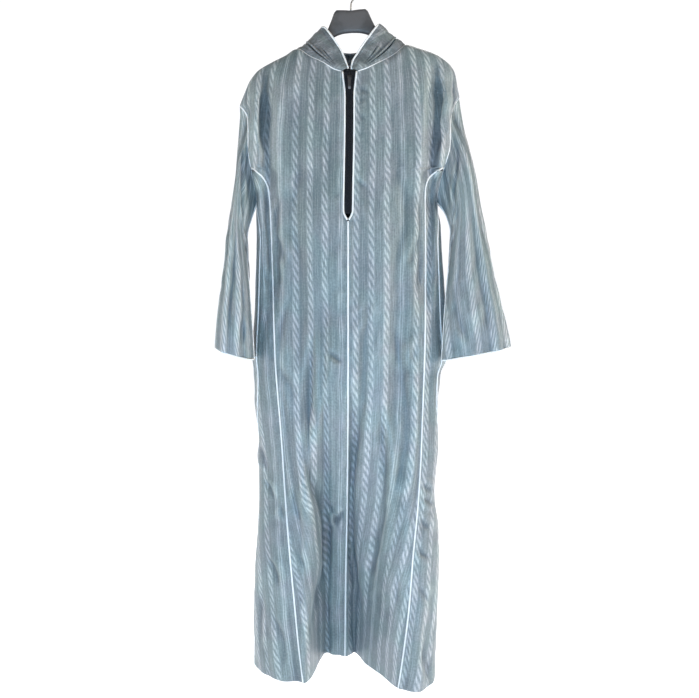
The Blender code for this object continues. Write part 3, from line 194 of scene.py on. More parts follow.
SLEEVE_BLEND = 0.20      # the armhole's shape turns into the tube's over this part of the length
# Long folds of a sleeve: turn round the tube, half width, depth at the top and at the cuff
SLEEVE_FOLDS = {
    -1: ((0.34, 0.12, -0.003, -0.007), (0.66, 0.10, 0.003, 0.004), (1.30, 0.14, -0.004, -0.007),
         (1.62, 0.12, 0.003, 0.004)),
    1: ((0.30, 0.11, -0.003, -0.005), (0.62, 0.12, 0.002, 0.004), (1.36, 0.13, -0.003, -0.006),
        (1.70, 0.10, 0.002, 0.003)),
}

# Hood's face edge, from the zip over the hanger to the middle behind
MOUTH_COLUMNS = ("around", "x", "y", "z")
MOUTH = {
    -1: ((0.00, 0.0030, -0.0395, -0.1980), (0.10, 0.0082, -0.0355, -0.1820),
         (0.20, 0.0120, -0.0320, -0.1720), (0.30, 0.0225, -0.0285, -0.1520),
         (0.40, 0.0360, -0.0250, -0.1320), (0.50, 0.0560, -0.0060, -0.1075),
         (0.60, 0.0660, 0.0380, -0.1150), (0.74, 0.0540, 0.0780, -0.1340),
         (0.88, 0.0280, 0.1040, -0.1450), (1.00, 0.0000, 0.1120, -0.1490)),
    1: ((0.00, 0.0040, -0.0390, -0.1990), (0.10, 0.0060, -0.0350, -0.1830),
        (0.20, 0.0140, -0.0320, -0.1700), (0.30, 0.0265, -0.0285, -0.1500),
        (0.40, 0.0420, -0.0250, -0.1290), (0.50, 0.0630, -0.0060, -0.1030),
        (0.60, 0.0700, 0.0380, -0.1120), (0.74, 0.0560, 0.0780, -0.1330),
        (0.88, 0.0290, 0.1040, -0.1450), (1.00, 0.0000, 0.1120, -0.1490)),
}
HOOD_BAG_FROM = 0.60     # the bag begins here, on the way round from the zip
HOOD_SAG = 0.335         # depth of the hood's point below the neck behind
HOOD_BULGE = 0.007
HOOD_LIFT = 0.009        # height of the roll of the cloth over the neck seam behind
HOOD_ROLL = 0.18         # part of the hood's length in that roll
HOOD_STAND = 0.009       # how far the bag stands off the back
HOOD_THICK = 0.022       # distance between the bag's two layers

# Hanger, as if level: half length, top, bottom and thickness
HANGER_COLUMNS = ("x", "top", "bottom", "thick")
HANGER = (
    (0.000, -0.0745, -0.1190, 0.0180), (0.016, -0.0730, -0.1200, 0.0180),
    (0.029, -0.0725, -0.1230, 0.0180), (0.034, -0.0760, -0.1250, 0.0176),
    (0.042, -0.0930, -0.1290, 0.0170), (0.052, -0.1130, -0.1350, 0.0160),
    (0.066, -0.1270, -0.1440, 0.0150), (0.086, -0.1440, -0.1570, 0.0140),
    (0.112, -0.1610, -0.1740, 0.0170), (0.140, -0.1710, -0.1860, 0.0220),
    (0.168, -0.1850, -0.1990, 0.0260), (0.188, -0.1970, -0.2090, 0.0260),
    (0.200, -0.2080, -0.2150, 0.0200),
)
HANGER_TILT = math.radians(2.4)
HANGER_SIDES = 44        # points round a section
HANGER_BOXY = (0.72, 0.78)   # powers that square a section, across and up; 1 is an ellipse
HANGER_FACE = 0.78       # the sunk face ends here, as a part of the half height
HOOK_WIRE = 0.0019
HOOK_INSIDE = 0.0210     # radius inside the hook's bend

# Zip
ZIP_SLIDER_Z = -0.2170


def curve(knots, values, at):
    """Smooth line through the knots that never overshoots them."""
    knots = np.asarray(knots, float)
    values = np.asarray(values, float)
    if knots[0] > knots[-1]:
        knots, values = knots[::-1], values[::-1]
    steps = np.diff(knots)
    slopes = np.diff(values) / steps
    product = slopes[:-1] * slopes[1:]
    total = np.where(product > 0, slopes[:-1] + slopes[1:], 1.0)
    tangents = np.zeros_like(values)
    tangents[1:-1] = np.where(product > 0, 2 * product / total, 0.0)
    tangents[0], tangents[-1] = slopes[0], slopes[-1]
    at = np.clip(at, knots[0], knots[-1])
    i = np.clip(np.searchsorted(knots, at) - 1, 0, len(steps) - 1)
    t = (at - knots[i]) / steps[i]
    start = (2 * t**3 - 3 * t**2 + 1) * values[i] + (t**3 - 2 * t**2 + t) * steps[i] * tangents[i]
    end = (3 * t**2 - 2 * t**3) * values[i + 1] + (t**3 - t**2) * steps[i] * tangents[i + 1]
    return start + end


def column(table, names, name):
    return [row[names.index(name)] for row in table]


def look_up(table, names, key, name, at):
    return curve(column(table, names, key), column(table, names, name), at)


def pairs(table, at):
    return curve([row[0] for row in table], [row[1] for row in table], at)


def ease(t):
    t = np.clip(t, 0.0, 1.0)
    return t * t * (3 - 2 * t)


def mix(a, b, t):
    return a + (b - a) * t


def fold_sum(folds, x, z):
    """Depth of all long folds at x and z."""
    total = np.zeros(np.broadcast(x, z).shape)
    for z_top, z_low, x_top, x_low, left, flat, right, deep_top, deep_low in folds.values():
        along = np.clip((z_top - z) / (z_top - z_low), 0.0, 1.0)
        here = mix(x_top, x_low, along)
        depth = mix(deep_top, deep_low, ease(along))
        depth = depth * ease((z_top + FADE - z) / FADE)
        if z_low > HEM_Z:
            depth = depth * ease((z - z_low + FADE) / FADE)
        rise = ease((x - here + flat / 2 + left) / left)
        fall = ease((here + flat / 2 + right - x) / right)
        total = total + depth * rise * fall
    return total


def body_size(name, z):
    return look_up(BODY, BODY_COLUMNS, "z", name, z)


def angle_of(share, behind):
    """Angle round the body's plan of a place at a share of the half width, -1 to 1."""
    share = np.clip(share, -1.0, 1.0)
    across = np.sign(share) * np.abs(share) ** (ROUND / 2)
    turn = np.clip(np.arccos(across), EDGE_ANGLE, math.pi - EDGE_ANGLE)
    return turn if behind else -turn


def half_width(x_sign, z):
    return np.where(x_sign < 0, body_size("left", z), body_size("right", z))


def body_xy(angle, z):
    """Plan of the robe's body at a height: the front lies at negative angles."""
    across, deep = np.cos(angle), np.sin(angle)
    x = np.sign(across) * np.abs(across) ** (2 / ROUND) * half_width(across, z)
    share = x / half_width(across, z)
    swell = np.abs(deep) ** (2 / ROUND)
    edge = body_size("edge", z)
    lift = edge + (1 - edge) * swell
    side_y = mix(body_size("side_left", z), body_size("side_right", z), (share + 1) / 2)
    front = side_y - body_size("front", z) * lift + fold_sum(FRONT_FOLDS, x, z) * ease(swell * 1.6)
    back = side_y + body_size("back", z) * lift + fold_sum(BACK_FOLDS, x, z) * ease(swell * 1.6)
    return x, np.where(deep < 0, front, back)


def placket_x(z):
    """Half width of the zip's opening."""
    return curve((-0.200, -0.253, ZIP_NARROW_Z, ZIP_POINT_Z), (PLACKET_TOP, PLACKET, PLACKET, 0.0), z)


def centre_x(z):
    return pairs(CENTRE, z)


def outer_x(side, z):
    """Seam at a front's outer side: the armhole, then the gore seam."""
    upper = pairs(ARMHOLE[side], z)
    lower = pairs(FRONT_GORE[side], z)
    return side * np.where(z > BRANCH_Z, upper, lower)


def top_edge(side, x, behind):
    """y and z of the neck seam and shoulder line at x."""
    neck = BACK_NECK[side] if behind else FRONT_NECK[side]
    rows = neck + tuple((sx, 0.0, sz) for sx, sz in SHOULDER[side][1:])
    knots = [row[0] for row in rows]
    return curve(knots, [row[1] for row in rows], x), curve(knots, [row[2] for row in rows], x)


def yoke(side, x_top, v, behind):
    """Height at row v, 0 at the top edge and 1 at the branch, and how far it has rounded off."""
    y_top, z_top = top_edge(side, x_top, behind)
    z = np.where(v < 1, z_top + (BRANCH_Z - z_top) * np.clip(v, 0, 1), BRANCH_Z - (v - 1))
    near = np.clip((z_top - z) / YOKE_DROP, 0.0, 1.0)
    return y_top, z, np.sqrt(1 - (1 - near) ** 2)


def front_panel(side, u, v):
    """Front half from the centre (u=0) to the armhole or gore seam (u=1)."""
    x_top = mix(PLACKET_TOP, DROP_POINT[side][0], u)
    y_top, z, off = yoke(side, x_top, v, False)
    inner = centre_x(z) * ease((0.25 + z) / -0.25) + side * placket_x(z)
    x = mix(inner, outer_x(side, z), u)
    _, y = body_xy(angle_of(x / half_width(x, z), False), z)
    return np.stack([x, mix(y_top, y, off), z], -1)


def zip_panel(side, u, v):
    """Zip tape from the centre (u=0) to the placket seam (u=1)."""
    _, z, off = yoke(side, PLACKET_TOP, v, False)
    y_top, _ = top_edge(side, PLACKET_TOP, False)
    middle = centre_x(z) * ease((0.25 + z) / -0.25)
    x = middle + side * placket_x(z) * u
    _, y = body_xy(angle_of(x / half_width(x, z), False), z)
    return np.stack([x, mix(y_top, y, off), z], -1)


def back_panel(u, v):
    """Back from the left seam (u=-1) to the right one (u=1)."""
    left = back_half(-1, -u, v)
    right = back_half(1, u, v)
    return np.where((u < 0)[..., None], left, right)


def back_half(side, u, v):
    u = np.clip(u, 0.0, 1.0)
    y_top, z, off = yoke(side, DROP_POINT[side][0] * u, v, True)
    upper = pairs(ARMHOLE[side], z)
    lower = pairs(BACK_GORE, z) * half_width(side, z)
    x = side * u * np.where(z > BRANCH_Z, upper, lower)
    _, y = body_xy(angle_of(x / half_width(side, z), True), z)
    return np.stack([x, mix(y_top, y, off), z], -1)


def side_angle(side, behind, z):
    """Angle of the side seam, or of the armhole's edge above the underarm."""
    above = z > UNDERARM_Z
    seam = pairs(SIDE_SEAM, z)
    if behind:
        turn = np.where(above, -EDGE_ANGLE, seam)
    else:
        turn = np.where(above, EDGE_ANGLE, seam)
    if side > 0:
        return -turn
    return turn + math.pi if behind else turn - math.pi


def gore_panel(side, behind, u, v):
    """Gore from the front or back seam (u=0) to the side seam (u=1)."""
    z = BRANCH_Z - (v - 1)
    if behind:
        start = angle_of(side * pairs(BACK_GORE, z), True)
    else:
        start = angle_of(outer_x(side, z) / half_width(side, z), False)
    x, y = body_xy(mix(start, side_angle(side, behind, z), u), z)
    return np.stack([x, y, np.broadcast_to(z, x.shape)], -1)


def armhole_ring(side):
    """Armhole points from the top down the front to the underarm and up the back."""
    rows = fine_rows()
    v = np.append(rows[rows < 1.0], 1.0)
    front = front_panel(side, np.ones_like(v), v)
    back = back_half(side, np.ones_like(v), v)
    v_arm = 1 + BRANCH_Z - UNDERARM_Z
    v = np.append(rows[(rows > 1.0) & (rows < v_arm)], v_arm)
    front = np.concatenate([front, gore_panel(side, False, np.ones_like(v), v)])
    back = np.concatenate([back, gore_panel(side, True, np.ones_like(v), v)])
    top = (front[0] + back[0]) / 2
    low = (front[-1] + back[-1]) / 2
    return np.concatenate([[top], front[1:-1], [low], back[1:-1][::-1], [top]])


def sleeve_size(side, name, v):
    return look_up(SLEEVES[side], SLEEVE_COLUMNS, "along", name, v)


def ring_turn(ring):
    """Place of each armhole point round the sleeve: 0 at the top, 1 at the underarm, 2 at the top."""
    places = np.concatenate([[0.0], np.cumsum(np.linalg.norm(np.diff(ring, axis=0), axis=1))])
    low = len(ring) // 2
    back = 1 + (places - places[low]) / (places[-1] - places[low])
    return np.where(np.arange(len(ring)) <= low, places / places[low], back)


def sleeve_point(side, around, v, ring):
    """Sleeve tube: around runs 0 to 2 from the top down the front and up the back."""
    low = len(ring) // 2
    turn = ring_turn(ring)
    hole = np.stack([np.interp(around, turn, ring[:, k]) for k in range(3)], -1)
    outer = np.stack([side * sleeve_size(side, "outer_x", v), sleeve_size(side, "outer_z", v)], -1)
    inner = np.stack([side * sleeve_size(side, "inner_x", v), sleeve_size(side, "inner_z", v)], -1)
    span = inner - outer
    length = np.linalg.norm(span, axis=-1)
    square = np.stack([-span[..., 1], span[..., 0]], -1) / length[..., None]
    start = np.array([ring[0][0], ring[0][2]])
    reach = np.array([ring[low][0], ring[low][2]]) - start
    reach_long = np.linalg.norm(reach)
    offset = np.stack([hole[..., 0], hole[..., 2]], -1) - start
    part_hole = (offset @ reach) / reach_long**2
    away_hole = (offset @ np.array([-reach[1], reach[0]])) / reach_long
    angle = around * math.pi
    cos, sin = np.cos(angle), np.sin(angle)
    part = 0.5 - 0.5 * np.sign(cos) * np.abs(cos) ** (2 / SLEEVE_ROUND)
    deep = -np.sign(sin) * np.abs(sin) ** (2 / SLEEVE_ROUND) * sleeve_size(side, "depth", v) / 2
    for place, wide, top, cuff in SLEEVE_FOLDS[side]:
        bump = ease(1 - np.abs(around - place) / wide)
        deep = deep - np.sign(sin) * bump * mix(top, cuff, v) * -1
    blend = ease(v / SLEEVE_BLEND)
    part = mix(part_hole, part, blend)
    y = mix(hole[..., 1], sleeve_size(side, "mid_y", v) + deep, blend)
    away = away_hole * (1 - blend)
    plane = outer + span * part[..., None] + square * away[..., None]
    return np.stack([plane[..., 0], y, plane[..., 1]], -1)


def neck_seam(side, around):
    """Neck seam: around runs 0 to 1 from the zip over the neck point to the middle behind."""
    front = mix(PLACKET_TOP, NECK_POINT[side], 2 * around)
    back = mix(NECK_POINT[side], 0.0, 2 * around - 1)
    x = np.where(around < 0.5, front, back)
    y_front, z_front = top_edge(side, x, False)
    y_back, z_back = top_edge(side, x, True)
    ahead = around < 0.5
    return np.stack([side * x, np.where(ahead, y_front, y_back), np.where(ahead, z_front, z_back)], -1)


def back_y(side, x, z):
    """y of the robe's back behind the height z at a distance x from the middle."""
    y_top, z_top = top_edge(side, DROP_POINT[side][0] * x / pairs(ARMHOLE[side], z), True)
    near = np.clip((z_top - z) / YOKE_DROP, 0.0, 1.0)
    _, y = body_xy(angle_of(side * x / half_width(side, z), True), z)
    return mix(y_top, y, np.sqrt(1 - (1 - near) ** 2))


def hood_point(side, around, up):
    """Hood from the neck seam (up=0) to the face edge (up=1), sagging into a bag behind."""
    neck = neck_seam(side, around)
    mouth = [look_up(MOUTH[side], MOUTH_COLUMNS, "around", name, around) for name in ("x", "y", "z")]
    behind = ease((around - HOOD_BAG_FROM) / (1 - HOOD_BAG_FROM))
    x = mix(neck[..., 0] * side, mouth[0], mix(up, up**2, ease((around - 0.5) / 0.1)))
    fall = np.sin(np.pi * np.clip((up - HOOD_ROLL / 2) / (1 - HOOD_ROLL), 0.0, 1.0)) ** 1.5
    z = mix(neck[..., 2], mouth[2], up) - HOOD_SAG * behind * fall
    z = z + HOOD_LIFT * ease(behind * 2) * np.sin(np.pi * np.clip(up / HOOD_ROLL, 0.0, 1.0))
    flap = mix(neck[..., 1], mouth[1], up) - HOOD_BULGE * np.sin(np.pi * up) * ease((0.46 - around) / 0.2)
    bag = back_y(side, x, z) + HOOD_STAND * ease(up / 0.34) + HOOD_THICK * ease((up - 0.3) / 0.5)
    y = mix(flap, bag, ease((around - 0.5) / 0.24))
    return np.stack([side * x, y, z], -1)


def normals_of(grid):
    """Unit normals at the points of a grid, square to its lines at the borders."""
    normal = np.cross(np.gradient(grid, axis=1), np.gradient(grid, axis=0))
    return normal / np.linalg.norm(normal, axis=-1, keepdims=True)


# Steps of the cloth's fine grid, and how far its borders stay from the middle of a seam
ACROSS_STEP = 0.0042
DOWN_STEP = 0.0056
YOKE_LINES = 46
EVEN_SAMPLES = 401       # places at which a row is measured before it is spaced evenly
TUCK = 0.0006
NO_TUCK = 0.00005        # where two halves meet without a cord between them
NORMAL_ROUNDS = 4        # smoothing of the directions in which folds sink
FOLD_ROUNDS = 16         # smoothing that tells folds and ridges from the cloth's general form
FOLD_SHADE = 0.56        # how strongly the folds' shade shows
FOLD_FULL = 0.0016       # a fold this deep below it counts as a full one
HANGER_GAP = 0.0008      # the cloth on the hanger, above this height, can sink no deeper
HANGER_LOW_Z = -0.212
SEAM_CALM = 0.022        # the folds start this far below the shoulder, armhole and neck seams
CORNER_CALM = 0.035      # the cloth lies flat this close to the point where the gores start

# Creases that the photograph shows on the front, in x and z: both ends, half width, depth (a
# ridge is negative), and how much of the cloth beside them is pushed up
CREASE_DEPTH = 1.45      # one factor for all of them
FRONT_CREASES = (
    (-0.178, -0.240, -0.178, -0.362, 0.0095, 0.0085, 0.3),
    (0.186, -0.226, 0.180, -0.362, 0.0095, 0.0090, 0.3),
    (-0.150, -0.470, -0.152, -0.640, 0.0090, 0.0060, 0.5),
    (0.148, -0.470, 0.146, -0.650, 0.0090, 0.0060, 0.5),
    (-0.078, -0.740, -0.076, -1.200, 0.0110, 0.0056, 0.6),
    (0.023, -0.930, 0.024, -1.400, 0.0110, 0.0085, 0.6),
    (-0.104, -1.000, -0.086, -1.420, 0.0100, 0.0060, 0.6),
    (-0.040, -0.820, -0.036, -1.430, 0.0120, -0.0045, 0.0),
    (-0.052, -1.130, -0.026, -1.205, 0.0060, 0.0034, 0.6),
    (0.066, -0.900, 0.050, -1.300, 0.0100, 0.0050, 0.6),
    (-0.043, -0.783, -0.014, -0.806, 0.0060, 0.0030, 0.6),
    (0.014, -0.238, 0.041, -0.251, 0.0050, 0.0016, 0.6),
    (0.015, -0.266, 0.036, -0.259, 0.0045, 0.0012, 0.5),
    (0.014, -0.291, 0.034, -0.303, 0.0050, 0.0014, 0.5),
    (0.014, -0.338, 0.030, -0.331, 0.0045, 0.0010, 0.5),
    (0.013, -0.420, 0.037, -0.441, 0.0050, 0.0014, 0.5),
    (-0.016, -0.262, -0.034, -0.270, 0.0045, 0.0010, 0.5),
    (-0.014, -0.452, -0.033, -0.462, 0.0050, 0.0012, 0.5),
    (-0.006, -1.152, -0.034, -1.189, 0.0070, 0.0040, 0.6),
    (-0.010, -1.160, -0.016, -1.214, 0.0060, 0.0026, 0.5),
    (-0.036, -1.186, -0.052, -1.240, 0.0060, 0.0020, 0.5),
    (-0.161, -0.538, -0.141, -0.598, 0.0090, 0.0030, 0.5),
    (0.150, -0.536, 0.124, -0.600, 0.0090, 0.0032, 0.5),
    (-0.103, -0.400, -0.099, -0.600, 0.0130, 0.0022, 0.3),
    (0.102, -0.392, 0.096, -0.604, 0.0120, 0.0024, 0.3),
    (-0.079, -0.760, -0.089, -1.070, 0.0110, 0.0026, 0.4),
    (0.047, -0.664, 0.034, -0.960, 0.0110, 0.0024, 0.4),
    (0.091, -0.730, 0.074, -1.160, 0.0120, 0.0030, 0.4),
    (-0.126, -0.664, -0.141, -0.960, 0.0110, 0.0024, 0.4),
    (-0.150, -0.820, -0.120, -0.900, 0.0100, 0.0022, 0.5),
    (0.140, -0.770, 0.118, -0.846, 0.0100, 0.0022, 0.5),
    (-0.120, -1.090, -0.104, -1.160, 0.0070, 0.0030, 0.6),
    (-0.112, -1.240, -0.096, -1.330, 0.0070, 0.0026, 0.5),
    (0.118, -1.250, 0.104, -1.350, 0.0080, 0.0024, 0.5),
    (0.060, -1.180, 0.052, -1.330, 0.0090, 0.0024, 0.4),
    (-0.060, -0.300, -0.052, -0.470, 0.0120, 0.0014, 0.3),
    (0.058, -0.330, 0.052, -0.520, 0.0120, 0.0014, 0.3),
)
GORE_CREASES = (
    (-0.201, -1.000, -0.186, -1.060, 0.0060, 0.0030, 0.6),
    (-0.190, -1.080, -0.168, -1.120, 0.0060, 0.0026, 0.6),
    (-0.147, -1.125, -0.131, -1.166, 0.0070, 0.0034, 0.6),
    (-0.180, -1.256, -0.160, -1.318, 0.0070, 0.0032, 0.6),
    (-0.194, -1.330, -0.206, -1.486, 0.0090, 0.0032, 0.5),
    (-0.176, -0.700, -0.190, -0.900, 0.0090, 0.0026, 0.4),
    (-0.170, -1.390, -0.156, -1.520, 0.0090, 0.0030, 0.5),
    (0.158, -1.071, 0.181, -1.093, 0.0055, 0.0034, 0.7),
    (0.161, -1.107, 0.186, -1.129, 0.0055, 0.0030, 0.7),
    (0.150, -1.150, 0.172, -1.176, 0.0060, 0.0026, 0.6),
    (0.145, -1.209, 0.178, -1.243, 0.0060, 0.0030, 0.6),
    (0.150, -1.300, 0.170, -1.340, 0.0070, 0.0026, 0.5),
    (0.165, -1.360, 0.187, -1.540, 0.0100, 0.0034, 0.5),
    (0.172, -0.700, 0.178, -0.960, 0.0090, 0.0026, 0.4),
    (0.140, -1.390, 0.148, -1.520, 0.0090, 0.0024, 0.4),
    (-0.188, -0.520, -0.176, -0.640, 0.0080, 0.0024, 0.5),
    (0.186, -0.530, 0.172, -0.650, 0.0080, 0.0024, 0.5),
)
BACK_CREASES = (
    (-0.160, -0.280, -0.108, -0.420, 0.0120, 0.0034, 0.4),
    (0.152, -0.270, 0.112, -0.430, 0.0120, 0.0034, 0.4),
    (-0.182, -0.440, -0.150, -0.560, 0.0100, 0.0032, 0.5),
    (0.176, -0.450, 0.142, -0.590, 0.0100, 0.0032, 0.5),
    (-0.060, -0.640, -0.052, -0.960, 0.0120, 0.0026, 0.3),
    (0.072, -0.600, 0.078, -0.900, 0.0120, 0.0028, 0.3),
    (-0.110, -0.900, -0.094, -0.990, 0.0080, 0.0028, 0.6),
    (0.020, -0.800, 0.014, -1.120, 0.0120, 0.0024, 0.3),
    (0.126, -1.060, 0.098, -1.120, 0.0080, 0.0030, 0.6),
    (-0.036, -1.190, -0.060, -1.260, 0.0080, 0.0028, 0.6),
    (-0.130, -1.220, -0.118, -1.500, 0.0110, 0.0034, 0.4),
    (0.060, -1.200, 0.066, -1.520, 0.0110, 0.0030, 0.4),
    (-0.010, -1.340, -0.004, -1.530, 0.0100, 0.0026, 0.4),
)
# Creases of the sleeves, by turn round the tube (0 at the top, 1 under the arm) and place along it
SLEEVE_CREASES = {
    -1: ((0.30, 0.08, 0.62, 0.22, 0.0085, 0.0032, 0.5), (0.52, 0.20, 0.86, 0.30, 0.0080, 0.0034, 0.6),
         (0.70, 0.34, 0.98, 0.42, 0.0080, 0.0030, 0.5), (0.20, 0.30, 0.30, 0.62, 0.0100, 0.0028, 0.4),
         (0.48, 0.45, 0.40, 0.90, 0.0110, 0.0030, 0.4), (1.20, 0.12, 1.46, 0.30, 0.0090, 0.0032, 0.5),
         (1.55, 0.34, 1.40, 0.72, 0.0110, 0.0030, 0.4), (0.64, 0.62, 0.58, 0.97, 0.0090, 0.0026, 0.4),
         (1.12, 0.50, 1.24, 0.66, 0.0080, 0.0028, 0.5)),
    1: ((0.34, 0.10, 0.70, 0.20, 0.0085, 0.0030, 0.5), (0.60, 0.20, 0.92, 0.27, 0.0080, 0.0032, 0.6),
        (0.74, 0.36, 0.98, 0.46, 0.0080, 0.0028, 0.5), (0.16, 0.26, 0.24, 0.60, 0.0100, 0.0026, 0.4),
        (0.44, 0.42, 0.36, 0.92, 0.0110, 0.0028, 0.4), (1.24, 0.14, 1.50, 0.26, 0.0090, 0.0030, 0.5),
        (1.60, 0.40, 1.48, 0.80, 0.0110, 0.0028, 0.4), (0.66, 0.58, 0.54, 0.95, 0.0090, 0.0024, 0.4),
        (1.14, 0.56, 1.28, 0.70, 0.0080, 0.0026, 0.5)),
}
# Creases of the hood's halves, by place round the neck and up the hood
HOOD_CREASES = {
    -1: ((0.52, 0.34, 0.16, 0.20, 0.0100, 0.0080, 0.6), (0.34, 0.50, 0.12, 0.34, 0.0060, 0.0040, 0.5),
         (0.62, 0.20, 0.70, 0.42, 0.0080, 0.0030, 0.5),
         (0.84, 0.22, 0.88, 0.50, 0.0090, 0.0036, 0.5), (0.72, 0.66, 0.92, 0.80, 0.0080, 0.0030, 0.5),
         (0.90, 0.60, 0.96, 0.90, 0.0080, 0.0028, 0.4)),
    1: ((0.52, 0.36, 0.18, 0.22, 0.0100, 0.0080, 0.6), (0.36, 0.60, 0.14, 0.40, 0.0060, 0.0040, 0.5),
        (0.66, 0.18, 0.72, 0.44, 0.0080, 0.0028, 0.5),
        (0.82, 0.26, 0.92, 0.46, 0.0090, 0.0034, 0.5), (0.76, 0.62, 0.94, 0.78, 0.0080, 0.0032, 0.5),
        (0.88, 0.56, 0.93, 0.88, 0.0080, 0.0026, 0.4)),
}

TRIM_SIDES = 10
TRIM_STEP = 0.004
STITCH = (0.0030, 0.0011, 0.00022)   # a stitch's length, the gap after it and its thread's radius
HEM_TURN = 0.014
CUFF_TURN = 0.012
HOOD_TURN = 0.007
TOOTH = (0.0022, 0.0010, 0.0009)     # half width, length along the zip and height of a coil turn
TOOTH_PITCH = 0.0015
TAPE_STEP = 0.0016
SLIDER_SIZE = (0.0092, 0.0038, 0.0115)   # width, depth and length
BAIL_BAR = 0.0011
BAIL_STAND = 0.0033      # height of the bail over the slider
TAB_LONG, TAB_WIDE, TAB_THICK = 0.0250, 0.0068, 0.0011
TAPE_WALL = 0.0014       # thickness of the tapes' solids, on which the slider sits
SLIDER_GAP = 0.0003

MM = 1000.0


# Sizes and colours


class ClothSettings(bpy.types.PropertyGroup):
    thick: bpy.props.FloatProperty(
        name="Thickness", description="Thickness of the shown cloth", default=0.0011, unit="LENGTH")
    pitch: bpy.props.FloatProperty(
        name="Stripe pitch", description="Distance between two rope stripes", default=0.0325,
        unit="LENGTH")
    band: bpy.props.FloatProperty(
        name="Stripe width", description="Width of one rope stripe", default=0.0160, unit="LENGTH")
    twist: bpy.props.FloatProperty(
        name="Twist", description="Length of one turn of the rope", default=0.0200, unit="LENGTH")
    ground: bpy.props.StringProperty(
        name="Ground", description="Colour of the satin ground, as sRGB hex", default="#637074")
    pale: bpy.props.StringProperty(
        name="Stripe", description="Colour of the woven stripe, as sRGB hex", default="#bcc2c6")
    seed: bpy.props.IntProperty(
        name="Wrinkles", description="Seed of the small wrinkles", default=7)


class TrimSettings(bpy.types.PropertyGroup):
    piping: bpy.props.FloatProperty(
        name="Piping radius", description="Radius of the corded piping", default=0.0019,
        unit="LENGTH")
    white: bpy.props.StringProperty(
        name="Piping colour", description="Colour of the piping, as sRGB hex", default="#e6e8ea")
    black: bpy.props.StringProperty(
        name="Zip colour", description="Colour of the zip tape, as sRGB hex", default="#0b0e17")


class HangerSettings(bpy.types.PropertyGroup):
    recess: bpy.props.FloatProperty(
        name="Recess", description="Depth of the hanger's flat face inside its rim",
        default=0.0009, unit="LENGTH")
    colour: bpy.props.StringProperty(
        name="Plastic", description="Colour of the moulded plastic, as sRGB hex", default="#414143")


class StageSettings(bpy.types.PropertyGroup):
    camera: bpy.props.FloatVectorProperty(
        name="Camera", description="Place of the camera", default=(0.0, -1.80, -0.537),
        subtype="TRANSLATION")
    aim: bpy.props.FloatVectorProperty(
        name="Aim", description="Point that the camera looks at", default=(0.0, 0.0, -0.787),
        subtype="TRANSLATION")
    lens: bpy.props.FloatProperty(
        name="Lens", description="Focal length of the camera, in millimetres", default=42.44)
    floor: bpy.props.FloatProperty(
        name="Floor", description="Height of the floor", default=-1.66, unit="LENGTH")


class RobeSettings(bpy.types.PropertyGroup):
    cloth: bpy.props.PointerProperty(type=ClothSettings)
    trim: bpy.props.PointerProperty(type=TrimSettings)
    hanger: bpy.props.PointerProperty(type=HangerSettings)
    stage: bpy.props.PointerProperty(type=StageSettings)


# Materials


def linear(text):
    """Linear colour of an sRGB hex value."""
    parts = [int(text[k: k + 2], 16) / 255 for k in (1, 3, 5)]
    return tuple(c / 12.92 if c <= 0.04045 else ((c + 0.055) / 1.055) ** 2.4 for c in parts) + (1.0,)


def add_node(tree, kind, inputs=None, **settings):
    """Adds a node with its settings, and sets or links its inputs."""
    item = tree.nodes.new(kind)
    for name, value in settings.items():
        setattr(item, name, value)
    for key, value in (inputs or {}).items():
        if isinstance(value, bpy.types.NodeSocket):
            tree.links.new(value, item.inputs[key])
        else:
            item.inputs[key].default_value = value
    return item


def reckon(tree, operation, a, b=0.0, c=0.0, clamp=False):
    inputs = {0: a, 1: b} if operation not in ("MULTIPLY_ADD", "SMOOTH_MIN") else {0: a, 1: b, 2: c}
    return add_node(tree, "ShaderNodeMath", inputs, operation=operation, use_clamp=clamp).outputs[0]


def band(tree, value, low, high):
    """1 where the value is under low, 0 above high, smooth between."""
    ramp = {"Value": value, "From Min": low, "From Max": high, "To Min": 1.0, "To Max": 0.0}
    return add_node(tree, "ShaderNodeMapRange", ramp, interpolation_type="SMOOTHSTEP").outputs[0]


def blend_colour(tree, part, first, second):
    inputs = {0: part, 6: first, 7: second}
    return add_node(tree, "ShaderNodeMix", inputs, data_type="RGBA").outputs[2]


def tinted_by(tree, colour, tint):
    """Colour multiplied by a tint."""
    mixed = add_node(tree, "ShaderNodeMix", data_type="RGBA", blend_type="MULTIPLY")
    mixed.inputs[0].default_value = 1.0
    tree.links.new(colour, mixed.inputs[6])
    tree.links.new(tint, mixed.inputs[7])
    return mixed.outputs[2]


def new_material(name):
    material = bpy.data.materials.new(name)
    material.use_nodes = True
    tree = material.node_tree
    return material, tree, tree.nodes["Principled BSDF"]


def join(tree, shader, **sockets):
    for name, value in sockets.items():
        key = name.replace("_", " ").title()
        if isinstance(value, bpy.types.NodeSocket):
            tree.links.new(value, shader.inputs[key])
        else:
            shader.inputs[key].default_value = value


def cloth_place(tree):
    """Place on the cloth's own weave in millimetres: across and along the warp."""
    place = add_node(tree, "ShaderNodeUVMap", uv_map="weave").outputs[0]
    parts = add_node(tree, "ShaderNodeSeparateXYZ", {0: place})
    across = reckon(tree, "MULTIPLY", parts.outputs[0], MM)
    along = reckon(tree, "MULTIPLY", parts.outputs[1], MM)
    return place, across, along


